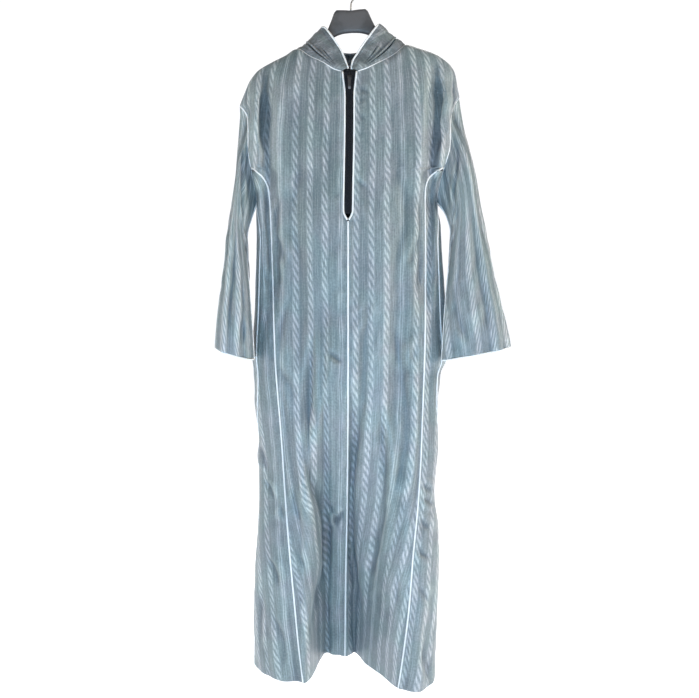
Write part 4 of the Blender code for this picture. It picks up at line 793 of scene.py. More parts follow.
def leaf(tree, x, along, period, centre, shift):
    """One ply of a woven rope: a row of leaves that lean across it, in millimetres."""
    part = reckon(tree, "FRACT", reckon(tree, "ADD", reckon(tree, "DIVIDE", along, period), shift))
    middle = reckon(tree, "MULTIPLY_ADD", part, 5.4, centre - 2.7)
    size = reckon(tree, "MULTIPLY", reckon(tree, "SINE", reckon(tree, "MULTIPLY", part, math.pi)), 1.9)
    away = reckon(tree, "SUBTRACT", reckon(tree, "ABSOLUTE", reckon(tree, "SUBTRACT", x, middle)), size)
    return band(tree, away, -1.5, 1.3)


def satin(name, settings, contrast, ground, rough):
    """Jacquard satin: a glossy warp-faced ground with stripes woven as twisted ropes."""
    material, tree, shader = new_material(name)
    place, across, along = cloth_place(tree)
    pitch, half = settings.pitch * MM, settings.band * MM / 2
    waver = add_node(tree, "ShaderNodeTexNoise", {"Vector": place, "Scale": 11.0, "Detail": 2.0})
    drift = reckon(tree, "MULTIPLY_ADD", waver.outputs[0], 8.0, -4.0)
    across_bent = reckon(tree, "ADD", across, drift)
    turns = reckon(tree, "DIVIDE", across_bent, pitch)
    index = reckon(tree, "FLOOR", turns)
    inside = reckon(tree, "FRACT", turns)
    x = reckon(tree, "MULTIPLY_ADD", inside, pitch, -pitch / 2)
    away = reckon(tree, "ABSOLUTE", x)
    # every fourth stripe is plain with two thin lines, as the photograph shows
    quarter = reckon(tree, "FRACT", reckon(tree, "MULTIPLY_ADD", index, 0.25, 0.40))
    plain = band(tree, quarter, 0.24, 0.26)
    body = band(tree, away, half - 1.6, half + 0.4)
    # the rope: two plies of slanting leaves, staggered, with a faint line on either side
    plies = [leaf(tree, x, along, settings.twist * MM, *ply) for ply in ((-2.7, 0.0), (2.7, 0.5))]
    rope = reckon(tree, "MAXIMUM", *plies)
    line = band(tree, reckon(tree, "ABSOLUTE", reckon(tree, "SUBTRACT", away, half - 0.8)), 0.2, 1.0)
    rope = reckon(tree, "MAXIMUM", rope, reckon(tree, "MULTIPLY", line, 0.40))
    pair = band(tree, reckon(tree, "ABSOLUTE", reckon(tree, "SUBTRACT", away, 2.6)), 0.4, 1.4)
    pair = reckon(tree, "MULTIPLY", pair, 0.65)
    figure = add_node(tree, "ShaderNodeMix", {0: plain, 2: rope, 3: pair}).outputs[0]
    # a single pale thread beside each rope, and strips of ground that differ a little in tone
    lone = band(tree, reckon(tree, "ABSOLUTE", reckon(tree, "SUBTRACT", away, pitch / 2 - 2.2)), 0.2, 0.9)
    strip = add_node(tree, "ShaderNodeTexWhiteNoise", {"W": reckon(tree, "ROUND", turns)},
                     noise_dimensions="1D").outputs["Value"]
    fill = reckon(tree, "MULTIPLY", body, contrast * 0.17)
    shown = reckon(tree, "MULTIPLY_ADD", reckon(tree, "MULTIPLY", figure, body), contrast * 0.74, fill)
    shown = reckon(tree, "MULTIPLY_ADD", lone, contrast * 0.22, shown)
    shown = reckon(tree, "MULTIPLY_ADD", strip, 0.12, shown, clamp=True)
    # threads: floats along the warp, and slubs a few millimetres wide, uneven in tone
    stretch = add_node(tree, "ShaderNodeMapping", {0: place, 3: (2800.0, 160.0, 1.0)})
    floats = add_node(tree, "ShaderNodeTexNoise", {"Vector": stretch.outputs[0], "Scale": 1.0, "Detail": 2.0})
    wider = add_node(tree, "ShaderNodeMapping", {0: place, 3: (380.0, 24.0, 1.0)})
    slubs = add_node(tree, "ShaderNodeTexNoise", {"Vector": wider.outputs[0], "Scale": 1.0, "Detail": 2.0})
    cloud = add_node(tree, "ShaderNodeTexNoise", {"Vector": place, "Scale": 7.0, "Detail": 3.0})
    tone = reckon(tree, "MULTIPLY_ADD", cloud.outputs[0], 0.26, reckon(
        tree, "MULTIPLY_ADD", floats.outputs[0], 0.22, -0.44))
    tone = reckon(tree, "MULTIPLY_ADD", slubs.outputs[0], 0.34, tone)
    mottle = add_node(tree, "ShaderNodeTexNoise", {"Vector": place, "Scale": 230.0, "Detail": 2.0})
    tone = reckon(tree, "MULTIPLY_ADD", mottle.outputs[0], 0.46, reckon(tree, "SUBTRACT", tone, 0.15))
    patchy = reckon(tree, "MULTIPLY_ADD", slubs.outputs[0], 1.7, 0.05)
    shown = reckon(tree, "MULTIPLY_ADD", shown, patchy, tone, clamp=True)
    colour = blend_colour(tree, shown, linear(ground), linear(settings.pale))
    # the shot satin turns from a greenish to a mauve grey in broad patches
    shot = add_node(tree, "ShaderNodeTexNoise", {"Vector": place, "Scale": 13.0, "Detail": 2.0})
    turned = band(tree, shot.outputs[0], 0.36, 0.64)
    hue = blend_colour(tree, turned, (1.035, 0.985, 1.005, 1.0), (0.965, 1.010, 0.990, 1.0))
    colour = tinted_by(tree, colour, hue)
    # stand-in for the soft shade of the photo's folds: hollows darker, ridges a little brighter
    fold = add_node(tree, "ShaderNodeAttribute", attribute_name="fold").outputs["Fac"]
    depth = reckon(tree, "MULTIPLY_ADD", fold, FOLD_SHADE, 0.42, clamp=True)
    painted_light = blend_colour(tree, depth, (1.12, 1.11, 1.10, 1.0), (0.58, 0.62, 0.67, 1.0))
    colour = tinted_by(tree, colour, painted_light)
    warp = reckon(tree, "SINE", reckon(tree, "MULTIPLY", across, math.tau / 0.42))
    weft = reckon(tree, "SINE", reckon(tree, "MULTIPLY", along, math.tau / 0.52))
    thread = reckon(tree, "MULTIPLY_ADD", weft, 0.35, warp)
    relief = reckon(tree, "MULTIPLY_ADD", figure, 3.2, reckon(tree, "MULTIPLY", thread, 0.28))
    bump = add_node(tree, "ShaderNodeBump", {"Height": relief, "Strength": 0.55, "Distance": 0.00010})
    gloss = reckon(tree, "MULTIPLY_ADD", shown, 0.16, rough)
    join(tree, shader, base_color=colour, roughness=gloss)
    tree.links.new(bump.outputs[0], shader.inputs["Normal"])
    shader.inputs["Specular IOR Level"].default_value = 0.42
    shader.inputs["Sheen Weight"].default_value = 0.18
    shader.inputs["Sheen Roughness"].default_value = 0.45
    return material


def trim_cloth(name, colour, rough, weave, strength):
    """Narrow plain or twill tape: fine diagonal threads and a little handling soil."""
    material, tree, shader = new_material(name)
    place = add_node(tree, "ShaderNodeTexCoord").outputs["Object"]
    parts = add_node(tree, "ShaderNodeSeparateXYZ", {0: place})
    slant = reckon(tree, "ADD", reckon(tree, "ADD", parts.outputs[0], parts.outputs[1]), parts.outputs[2])
    twill = reckon(tree, "SINE", reckon(tree, "MULTIPLY", slant, math.tau * MM / weave))
    soil = add_node(tree, "ShaderNodeTexNoise", {"Vector": place, "Scale": 34.0, "Detail": 4.0})
    shade = reckon(tree, "MULTIPLY_ADD", soil.outputs[0], 0.34, reckon(
        tree, "MULTIPLY", twill, 0.05), clamp=True)
    dull = tuple(c * 0.62 for c in linear(colour)[:3]) + (1.0,)
    tint = blend_colour(tree, shade, linear(colour), dull)
    bump = add_node(tree, "ShaderNodeBump", {"Height": twill, "Strength": strength, "Distance": 0.00012})
    join(tree, shader, base_color=tint, roughness=rough)
    tree.links.new(bump.outputs[0], shader.inputs["Normal"])
    shader.inputs["Specular IOR Level"].default_value = 0.25
    return material


def moulded(name, colour):
    """Moulded charcoal plastic with a fine spark-eroded grain and rubbed, slightly paler patches."""
    material, tree, shader = new_material(name)
    place = add_node(tree, "ShaderNodeTexCoord").outputs["Object"]
    grain = add_node(tree, "ShaderNodeTexNoise", {"Vector": place, "Scale": 1900.0, "Detail": 2.0})
    rub = add_node(tree, "ShaderNodeTexNoise", {"Vector": place, "Scale": 26.0, "Detail": 5.0})
    rubbed = band(tree, rub.outputs[0], 0.62, 0.40)
    pale = tuple(min(c * 1.55, 1.0) for c in linear(colour)[:3]) + (1.0,)
    tint = blend_colour(tree, rubbed, pale, linear(colour))
    bump = add_node(tree, "ShaderNodeBump", {
        "Height": grain.outputs[0], "Strength": 0.30, "Distance": 0.00008})
    rough = reckon(tree, "MULTIPLY_ADD", rub.outputs[0], 0.14, 0.38)
    join(tree, shader, base_color=tint, roughness=rough)
    tree.links.new(bump.outputs[0], shader.inputs["Normal"])
    return material


def metal(name, colour, rough, painted_light=None):
    """Plated metal with fine drawing marks; the last argument gives two heights, below which the metal is
    painted bright as a painted highlight.
    """
    material, tree, shader = new_material(name)
    place = add_node(tree, "ShaderNodeTexCoord").outputs["Object"]
    stretch = add_node(tree, "ShaderNodeMapping", {0: place, 3: (3200.0, 3200.0, 260.0)})
    marks = add_node(tree, "ShaderNodeTexNoise", {"Vector": stretch.outputs[0], "Scale": 1.0, "Detail": 3.0})
    part = reckon(tree, "MULTIPLY", marks.outputs[0], 0.30)
    # painted highlight: brighter metal below the given heights
    if painted_light:
        height = add_node(tree, "ShaderNodeSeparateXYZ", {0: place}).outputs[2]
        part = reckon(tree, "ADD", part, band(tree, height, painted_light[0], painted_light[1]), clamp=True)
    bright = tuple(min(c * 4.2 + 0.05, 0.9) for c in linear(colour)[:3]) + (1.0,)
    tint = blend_colour(tree, part, linear(colour), bright)
    bump = add_node(tree, "ShaderNodeBump", {
        "Height": marks.outputs[0], "Strength": 0.20, "Distance": 0.00005})
    join(tree, shader, base_color=tint, roughness=reckon(tree, "MULTIPLY_ADD", marks.outputs[0], 0.16, rough))
    tree.links.new(bump.outputs[0], shader.inputs["Normal"])
    shader.inputs["Metallic"].default_value = 1.0
    return material


def stage_white(name, colour):
    """Matt white studio paper."""
    material, tree, shader = new_material(name)
    place = add_node(tree, "ShaderNodeTexCoord").outputs["Object"]
    cloud = add_node(tree, "ShaderNodeTexNoise", {"Vector": place, "Scale": 0.8})
    dull = tuple(c * 0.985 for c in linear(colour)[:3]) + (1.0,)
    tint = blend_colour(tree, cloud.outputs[0], linear(colour), dull)
    join(tree, shader, base_color=tint, roughness=0.9)
    shader.inputs["Emission Color"].default_value = linear("#f8fbff")
    shader.inputs["Emission Strength"].default_value = 1.0
    return material


def material_of(name):
    """The named material, made when it is first asked for."""
    found = bpy.data.materials.get(name)
    if found:
        return found
    robe = bpy.context.scene.robe
    makers = {
        # robe's outside: slate-blue jacquard satin, rope stripes woven in
        "jacquard_satin": lambda: satin(name, robe.cloth, 0.76, robe.cloth.ground, 0.36),
        # the hood's cloth: the same satin cut where the stripes hardly show, its ground darker and greyer as
        # painted shade of the hood's folds
        "jacquard_hood": lambda: satin(name, robe.cloth, 0.26, "#586063", 0.42),
        # robe's inside: the satin's matt reverse, where the stripes show faintly
        "satin_reverse": lambda: satin(name, robe.cloth, 0.35, "#66737f", 0.62),
        # cotton twill piping, white
        "piping_twill": lambda: trim_cloth(name, robe.trim.white, 0.70, 0.55, 0.45),
        # polyester zip tape, nearly black navy
        "zip_tape_weave": lambda: trim_cloth(name, robe.trim.black, 0.62, 0.70, 0.50),
        # nylon coil of the zip
        "coil_nylon": lambda: trim_cloth(name, "#10131c", 0.40, 0.30, 0.10),
        # sewing thread in the cloth's colour
        "sewing_thread": lambda: trim_cloth(name, "#93a0ab", 0.55, 0.25, 0.40),
        # injection-moulded hanger plastic
        "hanger_plastic_grain": lambda: moulded(name, robe.hanger.colour),
        # bright zinc-plated wire
        "hook_wire": lambda: metal(name, "#8d8e90", 0.26),
        # dark enamelled slider and pull tab, the tab's tip painted as bright metal: a painted highlight
        "slider_metal": lambda: metal(name, "#3a3b3f", 0.34),
        "tab_metal": lambda: metal(name, "#46474b", 0.32, (-0.2385, -0.2330)),
    }
    return makers[name]()


# Cloth


def noise(s, t, seed):
    """Smooth noise from -1 to 1 on a unit lattice."""
    table = np.random.RandomState(seed).rand(64, 64) * 2 - 1
    i, j = np.floor(s).astype(int), np.floor(t).astype(int)
    a, b = ease(s - i), ease(t - j)
    rows = [mix(table[i % 64, (j + k) % 64], table[(i + 1) % 64, (j + k) % 64], a) for k in (0, 1)]
    return mix(rows[0], rows[1], b)


def wrinkles(s, t, seed):
    """Small uneven wrinkles: soft upright waves, a slack drape and a fine crumple."""
    bend = noise(s / 0.09, t / 0.16, seed) * 0.35
    soft = noise(s / 0.034 + bend, t / 0.21 + bend, seed + 1) * 0.0028
    drape = noise(s / 0.060 + t / 0.30, t / 0.12, seed + 2) * 0.0028
    crumple = noise(s / 0.017 + t / 0.060, t / 0.034 - s / 0.09, seed + 3)
    where = ease(noise(s / 0.11, t / 0.15, seed + 4) * 1.3 + 0.35)
    fine = noise(s / 0.009, t / 0.016, seed + 5) * 0.00020
    return soft + drape + crumple * 0.00150 * where + fine


def crease_sum(creases, s, t, scale=(1.0, 1.0)):
    """Depth of all short creases at a place, each pinched at its ends and heaped on one side."""
    total = np.zeros(np.broadcast(s, t).shape)
    for k, (s1, t1, s2, t2, wide, deep, heap) in enumerate(creases):
        way = np.array(((s2 - s1) * scale[0], (t2 - t1) * scale[1]))
        long = np.linalg.norm(way)
        way = way / long
        ds, dt = (s - s1) * scale[0], (t - t1) * scale[1]
        along = (ds * way[0] + dt * way[1]) / long
        bend = math.sin(k * 2.4) * 0.10 * long * np.sin(np.pi * np.clip(along, 0.0, 1.0))
        aside = ds * way[1] - dt * way[0] + bend
        ends = ease((along + 0.12) / 0.45) * ease((1.12 - along) / 0.45)
        slim = wide * (0.55 + 0.45 * ends)
        valley = np.exp(-((aside / slim) ** 2))
        ridge = np.exp(-(((aside - 1.9 * slim * (-1) ** k) / (1.3 * slim)) ** 2))
        total = total + CREASE_DEPTH * deep * ends * (valley - heap * ridge)
    return total


def fine_rows():
    """Row places down a panel, closer together where the cloth rounds off the shoulder."""
    yoke_rows = ((np.arange(YOKE_LINES) + 0.1) / YOKE_LINES) ** 2
    skirt = np.arange(1.0, 1 + BRANCH_Z - HEM_Z, DOWN_STEP)
    return np.concatenate([yoke_rows, skirt, [1 + BRANCH_Z - HEM_Z]])


def even(point, rows, low, high, step, tucks=(TUCK, TUCK)):
    """Grid of a surface at even steps across: its points, places u and distances from u = 0."""
    first = np.linspace(low, high, EVEN_SAMPLES)
    u = np.broadcast_to(first, (len(rows), len(first)))
    v = np.broadcast_to(rows[:, None], u.shape)
    line = point(u, v)
    steps = np.linalg.norm(np.diff(line, axis=1), axis=2)
    arc = np.concatenate([np.zeros((len(rows), 1)), np.cumsum(steps, axis=1)], axis=1)
    zero = np.array([np.interp(0.0, first, row) for row in arc])
    count = int(np.ceil(arc[:, -1].max() / step)) + 1
    share = np.linspace(0, 1, count)
    places, far = [], []
    for row in arc:
        at = mix(tucks[0], row[-1] - tucks[1], share) if row[-1] > 4 * TUCK else row[-1] * share
        places.append(np.interp(at, row, first))
        far.append(at)
    u = np.array(places)
    v = np.broadcast_to(rows[:, None], u.shape)
    return point(u, v), u, v, np.array(far) - zero[:, None], np.array(far), arc[:, -1]


def down_lengths(grid, start):
    steps = np.linalg.norm(np.diff(grid, axis=0), axis=2)
    return start + np.concatenate([np.zeros((1, grid.shape[1])), np.cumsum(steps, axis=0)])


def hung_lengths(grid, start):
    """Lengths down a panel; below the branch, where its columns shift sideways, by height alone."""
    lengths = down_lengths(grid, start)
    low = YOKE_LINES + 1
    lengths[low:] = lengths[low - 1] + grid[low - 1, :, 2] - grid[low:, :, 2]
    return lengths


def displaced(grid, depth, outward):
    """Grid moved inwards along its normals by a depth, and the new normals."""
    normals = normals_of(grid)
    for _ in range(NORMAL_ROUNDS):
        normals[1:-1] = (normals[:-2] + 2 * normals[1:-1] + normals[2:]) / 4
    normals = normals / np.linalg.norm(normals, axis=-1, keepdims=True)
    sign = np.sign(np.mean(np.sum(normals * outward, axis=-1)))
    moved = grid - normals * sign * depth[..., None]
    return moved, normals_of(moved) * sign


def border_fade(far, width, near=0.004, full=0.016):
    """0 at both side borders, 1 beyond a distance from them."""
    inside = np.minimum(far, width[:, None] - far)
    return ease((inside - near) / (full - near))


def pucker(far, width, along, seed):
    """Ripple that the seams draw into the cloth beside them."""
    inside = np.minimum(far, width[:, None] - far)
    shape = ease(inside / 0.003) * np.exp(-np.maximum(inside - 0.003, 0.0) / 0.006)
    return shape * noise(along / 0.0085, far * 0 + seed, seed) * 0.00075


def mesh_object(name, points, faces, materials, indices=None, uv=None, smooth=True):
    mesh = bpy.data.meshes.new(name)
    mesh.from_pydata(np.asarray(points, float).tolist(), [], faces)
    for material in materials:
        mesh.materials.append(material)
    if indices is not None:
        mesh.polygons.foreach_set("material_index", np.asarray(indices, np.int32))
    if uv is not None:
        layer = mesh.uv_layers.new(name="weave")
        corners = np.zeros(len(mesh.loops), np.int32)
        mesh.loops.foreach_get("vertex_index", corners)
        layer.data.foreach_set("uv", np.asarray(uv, np.float32)[corners].ravel())
    if smooth:
        mesh.shade_smooth()
    item = bpy.data.objects.new(name, mesh)
    bpy.context.scene.collection.objects.link(item)
    return item


def hollows(grid, normals):
    """How far each point of a grid lies in a fold (up to 1) or on a ridge (down to -1)."""
    soft = grid.copy()
    for _ in range(FOLD_ROUNDS):
        soft[1:-1] = (soft[:-2] + 2 * soft[1:-1] + soft[2:]) / 4
        soft[:, 1:-1] = (soft[:, :-2] + 2 * soft[:, 1:-1] + soft[:, 2:]) / 4
    return np.clip(np.sum((soft - grid) * normals, axis=-1) / FOLD_FULL, -1.0, 1.0)


def shell(name, grid, normals, weave, materials):
    """Thin closed cloth: an outer and an inner layer on a grid, with a rim between them."""
    rows, cols = grid.shape[:2]
    lift = normals * bpy.context.scene.robe.cloth.thick / 2
    points = np.concatenate([(grid + lift).reshape(-1, 3), (grid - lift).reshape(-1, 3)])
    uv = np.concatenate([weave.reshape(-1, 2)] * 2)
    back = rows * cols
    place = np.arange(back).reshape(rows, cols)
    a, b, c, d = place[:-1, :-1], place[1:, :-1], place[1:, 1:], place[:-1, 1:]
    outer = np.stack([a, b, c, d], -1).reshape(-1, 4)
    across, down = grid[1:-1, 2:] - grid[1:-1, :-2], grid[2:, 1:-1] - grid[:-2, 1:-1]
    facing = np.mean(np.sum(np.cross(down, across) * normals[1:-1, 1:-1], axis=-1))
    inner = outer[:, ::-1] + back
    rim = np.concatenate([place[0, :-1], place[:-1, -1], place[-1, :0:-1], place[:0:-1, 0]])
    after = np.roll(rim, -1)
    edge = np.stack([rim, after, after + back, rim + back], -1)
    if facing < 0:
        outer, inner, edge = outer[:, ::-1], inner[:, ::-1], edge[:, ::-1]
    faces = np.concatenate([outer, inner, edge])
    indices = np.concatenate([np.zeros(len(outer)), np.ones(len(inner)), np.zeros(len(edge))])
    item = mesh_object(name, points, faces.tolist(), materials, indices, uv)
    # depth in the folds, which the satin turns into painted shade in hollows and a painted highlight on
    # ridges
    hollow = hollows(grid, normals).ravel()
    values = item.data.attributes.new("fold", "FLOAT", "POINT").data
    values.foreach_set("value", np.concatenate([hollow, -hollow]).astype(np.float32))
    return item


def place_piece(item, node, body=ROOT):
    """Hides the solid that a piece stands for and hangs the piece on the body that it rides on."""
    if node:
        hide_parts(node)
    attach(item, body)
    return item


def cloth_piece(node, grid, far, width, weave, creases, outward, corners=()):
    """Finishes one cloth piece: wrinkles, seam puckers and its own creases, then the shell."""
    seed = bpy.context.scene.robe.cloth.seed + sum(ord(letter) for letter in node)
    fade = border_fade(far, width)
    depth = (wrinkles(weave[..., 0], weave[..., 1], seed) + creases) * fade
    depth = depth + pucker(far, width, weave[..., 1], seed)
    depth = depth * ease(down_lengths(grid, 0.0 * grid[:1, :, 2]) / SEAM_CALM)
    if not node.startswith("hood"):
        depth = np.minimum(depth, HANGER_GAP + ease((HANGER_LOW_Z - grid[..., 2]) / 0.03) * 0.03)
    for row, col in corners:
        depth = depth * ease(np.linalg.norm(grid - grid[row, col], axis=-1) / CORNER_CALM - 0.2)
    grid, normals = displaced(grid, depth, outward)
    outside = "jacquard_hood" if node.startswith("hood") else "jacquard_satin"
    cloth = [material_of(outside), material_of("satin_reverse")]
    item = shell(node + "_cloth", grid, normals, weave, cloth)
    place_piece(item, node)
    return grid, normals


def hem_line(grid, normals, turn):
    """Line on the outside of a piece at a distance above its lower edge."""
    steps = np.linalg.norm(np.diff(grid[::-1], axis=0), axis=2)
    up = np.concatenate([np.zeros((1, grid.shape[1])), np.cumsum(steps, axis=0)])
    k = np.argmax(up >= turn, axis=0)
    columns = np.arange(grid.shape[1])
    low, high = up[k - 1, columns], up[k, columns]
    part = ((turn - low) / (high - low))[:, None]
    flipped, facing = grid[::-1], normals[::-1]
    spot = mix(flipped[k - 1, columns], flipped[k, columns], part)
    lift = bpy.context.scene.robe.cloth.thick / 2 + STITCH[2] * 0.35
    return spot + facing[k, columns] * lift


def front_piece(side, word):
    rows = fine_rows()
    node = "front_" + word
    grid, u, v, along, far, width = even(lambda a, b: front_panel(side, a, b), rows, 0.0, 1.0, ACROSS_STEP)
    along = along + placket_x(grid[:, :1, 2])
    weave = np.stack([along * side, hung_lengths(grid, -grid[:1, :, 2])], -1)
    creases = crease_sum(FRONT_CREASES, grid[..., 0], grid[..., 2])
    grid, normals = cloth_piece(node, grid, far, width, weave, creases, (0, -1, 0.1), ((YOKE_LINES, -1),))
    return hem_line(grid, normals, HEM_TURN)


def back_piece():
    rows = fine_rows()
    grid, u, v, along, far, width = even(back_panel, rows, -1.0, 1.0, ACROSS_STEP * 1.25)
    weave = np.stack([along, hung_lengths(grid, -grid[:1, :, 2])], -1)
    creases = crease_sum(BACK_CREASES, grid[..., 0], grid[..., 2])
    grid, normals = cloth_piece(
        "back", grid, far, width, weave, creases, (0, 1, 0.1), ((YOKE_LINES, 0), (YOKE_LINES, -1)))
    return hem_line(grid, normals, HEM_TURN)


def gore_piece(side, word, behind):
    node = f"gore_{'back' if behind else 'front'}_{word}"
    start = 1 + BRANCH_Z - GORE_TOP_Z
    rows = np.concatenate([np.arange(start, 1 + BRANCH_Z - HEM_Z, DOWN_STEP), [1 + BRANCH_Z - HEM_Z]])
    grid, u, v, along, far, width = even(
        lambda a, b: gore_panel(side, behind, a, b), rows, 0.0, 1.0, ACROSS_STEP)
    weave = np.stack([along * side + 0.007, down_lengths(grid, -grid[:1, :, 2])], -1)
    marks = BACK_CREASES if behind else GORE_CREASES
    creases = crease_sum(marks, grid[..., 0], grid[..., 2])
    outward = np.stack([grid[..., 0] * 0 + side, grid[..., 0] * 0 + (0.5 if behind else -0.5),
                        grid[..., 0] * 0], -1)
    grid, normals = cloth_piece(node, grid, far, width, weave, creases, outward)
    return hem_line(grid, normals, HEM_TURN)


def sleeve_piece(side, word):
    ring = armhole_ring(side)
    rows = np.linspace(0.0022, 0.9978, 118)

    def point(a, b):
        return sleeve_point(side, np.mod(a, 2.0), b, ring)

    grid, u, v, along, far, width = even(point, rows, -1.0, 1.0, ACROSS_STEP)
    weave = np.stack([along, down_lengths(grid, 0.0 * grid[:1, :, 2])], -1)
    turn = np.mod(u, 2.0)
    creases = crease_sum(SLEEVE_CREASES[side], turn, v, (0.17, 0.52))
    ends = ease(v / 0.05) * ease((1 - v) / 0.03)
    centre = np.mean(grid, axis=1, keepdims=True)
    node = "sleeve_" + word
    grid, normals = cloth_piece(node, grid, far, width, weave, creases * ends, grid - centre)
    return hem_line(grid, normals, CUFF_TURN)


def hood_piece(side, word):
    rows = np.concatenate([np.linspace(0.004, 0.2, 26)[:-1], np.linspace(0.2, 0.997, 66)])
    grid, u, v, along, far, width = even(
        lambda a, b: hood_point(side, a, b), rows, 0.0, 1.0, ACROSS_STEP, (TUCK, NO_TUCK))
    weave = np.stack([along * side, down_lengths(grid, 0.0 * grid[:1, :, 2])], -1)
    creases = crease_sum(HOOD_CREASES[side], u, v, (0.30, 0.45)) * ease(v / 0.06) * ease((1 - v) / 0.06)
    node = "hood_" + word
    grid, normals = cloth_piece(node, grid, far, width, weave, creases, (0, -1, 0.2))
    return hem_line(grid, normals, HOOD_TURN)


# Piping and sewing


def ring_faces(count, sides, closed=False):
    """Faces between rings of points, capped at both ends unless the last ring joins the first."""
    faces = []
    for j in range(count if closed else count - 1):
        after = (j + 1) % count
        for k in range(sides):
            right = (k + 1) % sides
            faces.append((j * sides + k, j * sides + right, after * sides + right, after * sides + k))
    if not closed:
        faces.append(tuple(range(sides - 1, -1, -1)))
        faces.append(tuple((count - 1) * sides + k for k in range(sides)))
    return faces


def tube_mesh(name, path, radius, material, sides):
    """Round cord along a line of points, closed where the line ends at its first point."""
    closed = np.linalg.norm(path[0] - path[-1]) < 1e-6
    if closed:
        path = path[:-1]
        ahead, behind = np.roll(path, -1, axis=0), np.roll(path, 1, axis=0)
    else:
        ahead = np.concatenate([path[1:], path[-1:]])
        behind = np.concatenate([path[:1], path[:-1]])
    count = len(path)
    tangents = ahead - behind
    tangents /= np.linalg.norm(tangents, axis=1, keepdims=True)
    side = np.cross(tangents[0], (0.0, 1.0, 0.3))
    radius = np.broadcast_to(radius, (count,))
    points = []
    for centre, tangent, size in zip(path, tangents, radius):
        side = side - tangent * side.dot(tangent)
        side = side / np.linalg.norm(side)
        other = np.cross(tangent, side)
        for k in range(sides):
            turn = 2 * math.pi * k / sides
            points.append(centre + size * (math.cos(turn) * side + math.sin(turn) * other))
    return mesh_object(name, points, ring_faces(count, sides, closed), [material])


def resampled(path, step):
    """Path at even steps; a closed one keeps its last point on its first."""
    path = np.asarray(path, float)
    places = np.concatenate([[0.0], np.cumsum(np.linalg.norm(np.diff(path, axis=0), axis=1))])
    keep = np.concatenate([[True], np.diff(places) > 1e-7])
    path, places = path[keep], places[keep]
    at = np.linspace(0, places[-1], max(int(places[-1] / step), 4) + 1)
    return np.stack([np.interp(at, places, path[:, k]) for k in range(3)], -1)


def smoothed(path, rounds):
    closed = np.linalg.norm(path[0] - path[-1]) < 1e-6
    for _ in range(rounds):
        middle = (path[:-2] + 2 * path[1:-1] + path[2:]) / 4
        if closed:
            seam = (path[-2] + 2 * path[0] + path[1]) / 4
            path = np.concatenate([[seam], middle, [seam]])
        else:
            path = np.concatenate([path[:1], middle, path[-1:]])
    return path


def shorten(path, start=0.0, end=0.0):
    """Path with a length cut off either end."""
    places = np.concatenate([[0.0], np.cumsum(np.linalg.norm(np.diff(path, axis=0), axis=1))])
    inside = (places > start + 1e-4) & (places < places[-1] - end - 1e-4)
    at = np.concatenate([[start], places[inside], [places[-1] - end]])
    return np.stack([np.interp(at, places, path[:, k]) for k in range(3)], -1)


def seam_lines():
    """Lines of the seams with a white cord, by the name of the cord's solid."""
    rows = fine_rows()
    v_point = 1 + BRANCH_Z - ZIP_POINT_Z
    upper = np.append(rows[rows < v_point], v_point)
    lower = np.insert(rows[rows > v_point], 0, v_point)
    gore_rows = np.insert(rows[rows > 1.0], 0, 1.0)
    v_arm = 1 + BRANCH_Z - UNDERARM_Z
    side_rows = np.insert(rows[rows > v_arm], 0, v_arm)
    around = np.linspace(0, 1, 101)
    along = np.linspace(0, 1, 101)
    lines, necks, mouths = {}, [], []
    for side, word in SIDES:
        ring = armhole_ring(side)
        lines["placket_" + word] = front_panel(side, np.zeros_like(upper), upper)
        lines["armhole_" + word] = ring
        for behind, part in ((False, "front"), (True, "back")):
            seam = gore_panel(side, behind, np.zeros_like(gore_rows), gore_rows)
            lines[f"gore_{part}_{word}"] = seam
        lines["side_" + word] = gore_panel(side, False, np.ones_like(side_rows), side_rows)
        lines["underarm_" + word] = sleeve_point(side, np.ones_like(along), along, ring)
        turn = np.mod(np.linspace(-1, 1, 161), 2.0)
        lines["cuff_" + word] = sleeve_point(side, turn, np.ones_like(turn), ring)
        necks.append(neck_seam(side, around))
        mouths.append(hood_point(side, around, np.ones_like(around)))
    lines["centre"] = front_panel(1, np.zeros_like(lower), lower)
    lines["neck"] = np.concatenate([necks[0], necks[1][::-1][1:]])
    lines["hood"] = np.concatenate([mouths[0], mouths[1][::-1][1:]])
    return lines


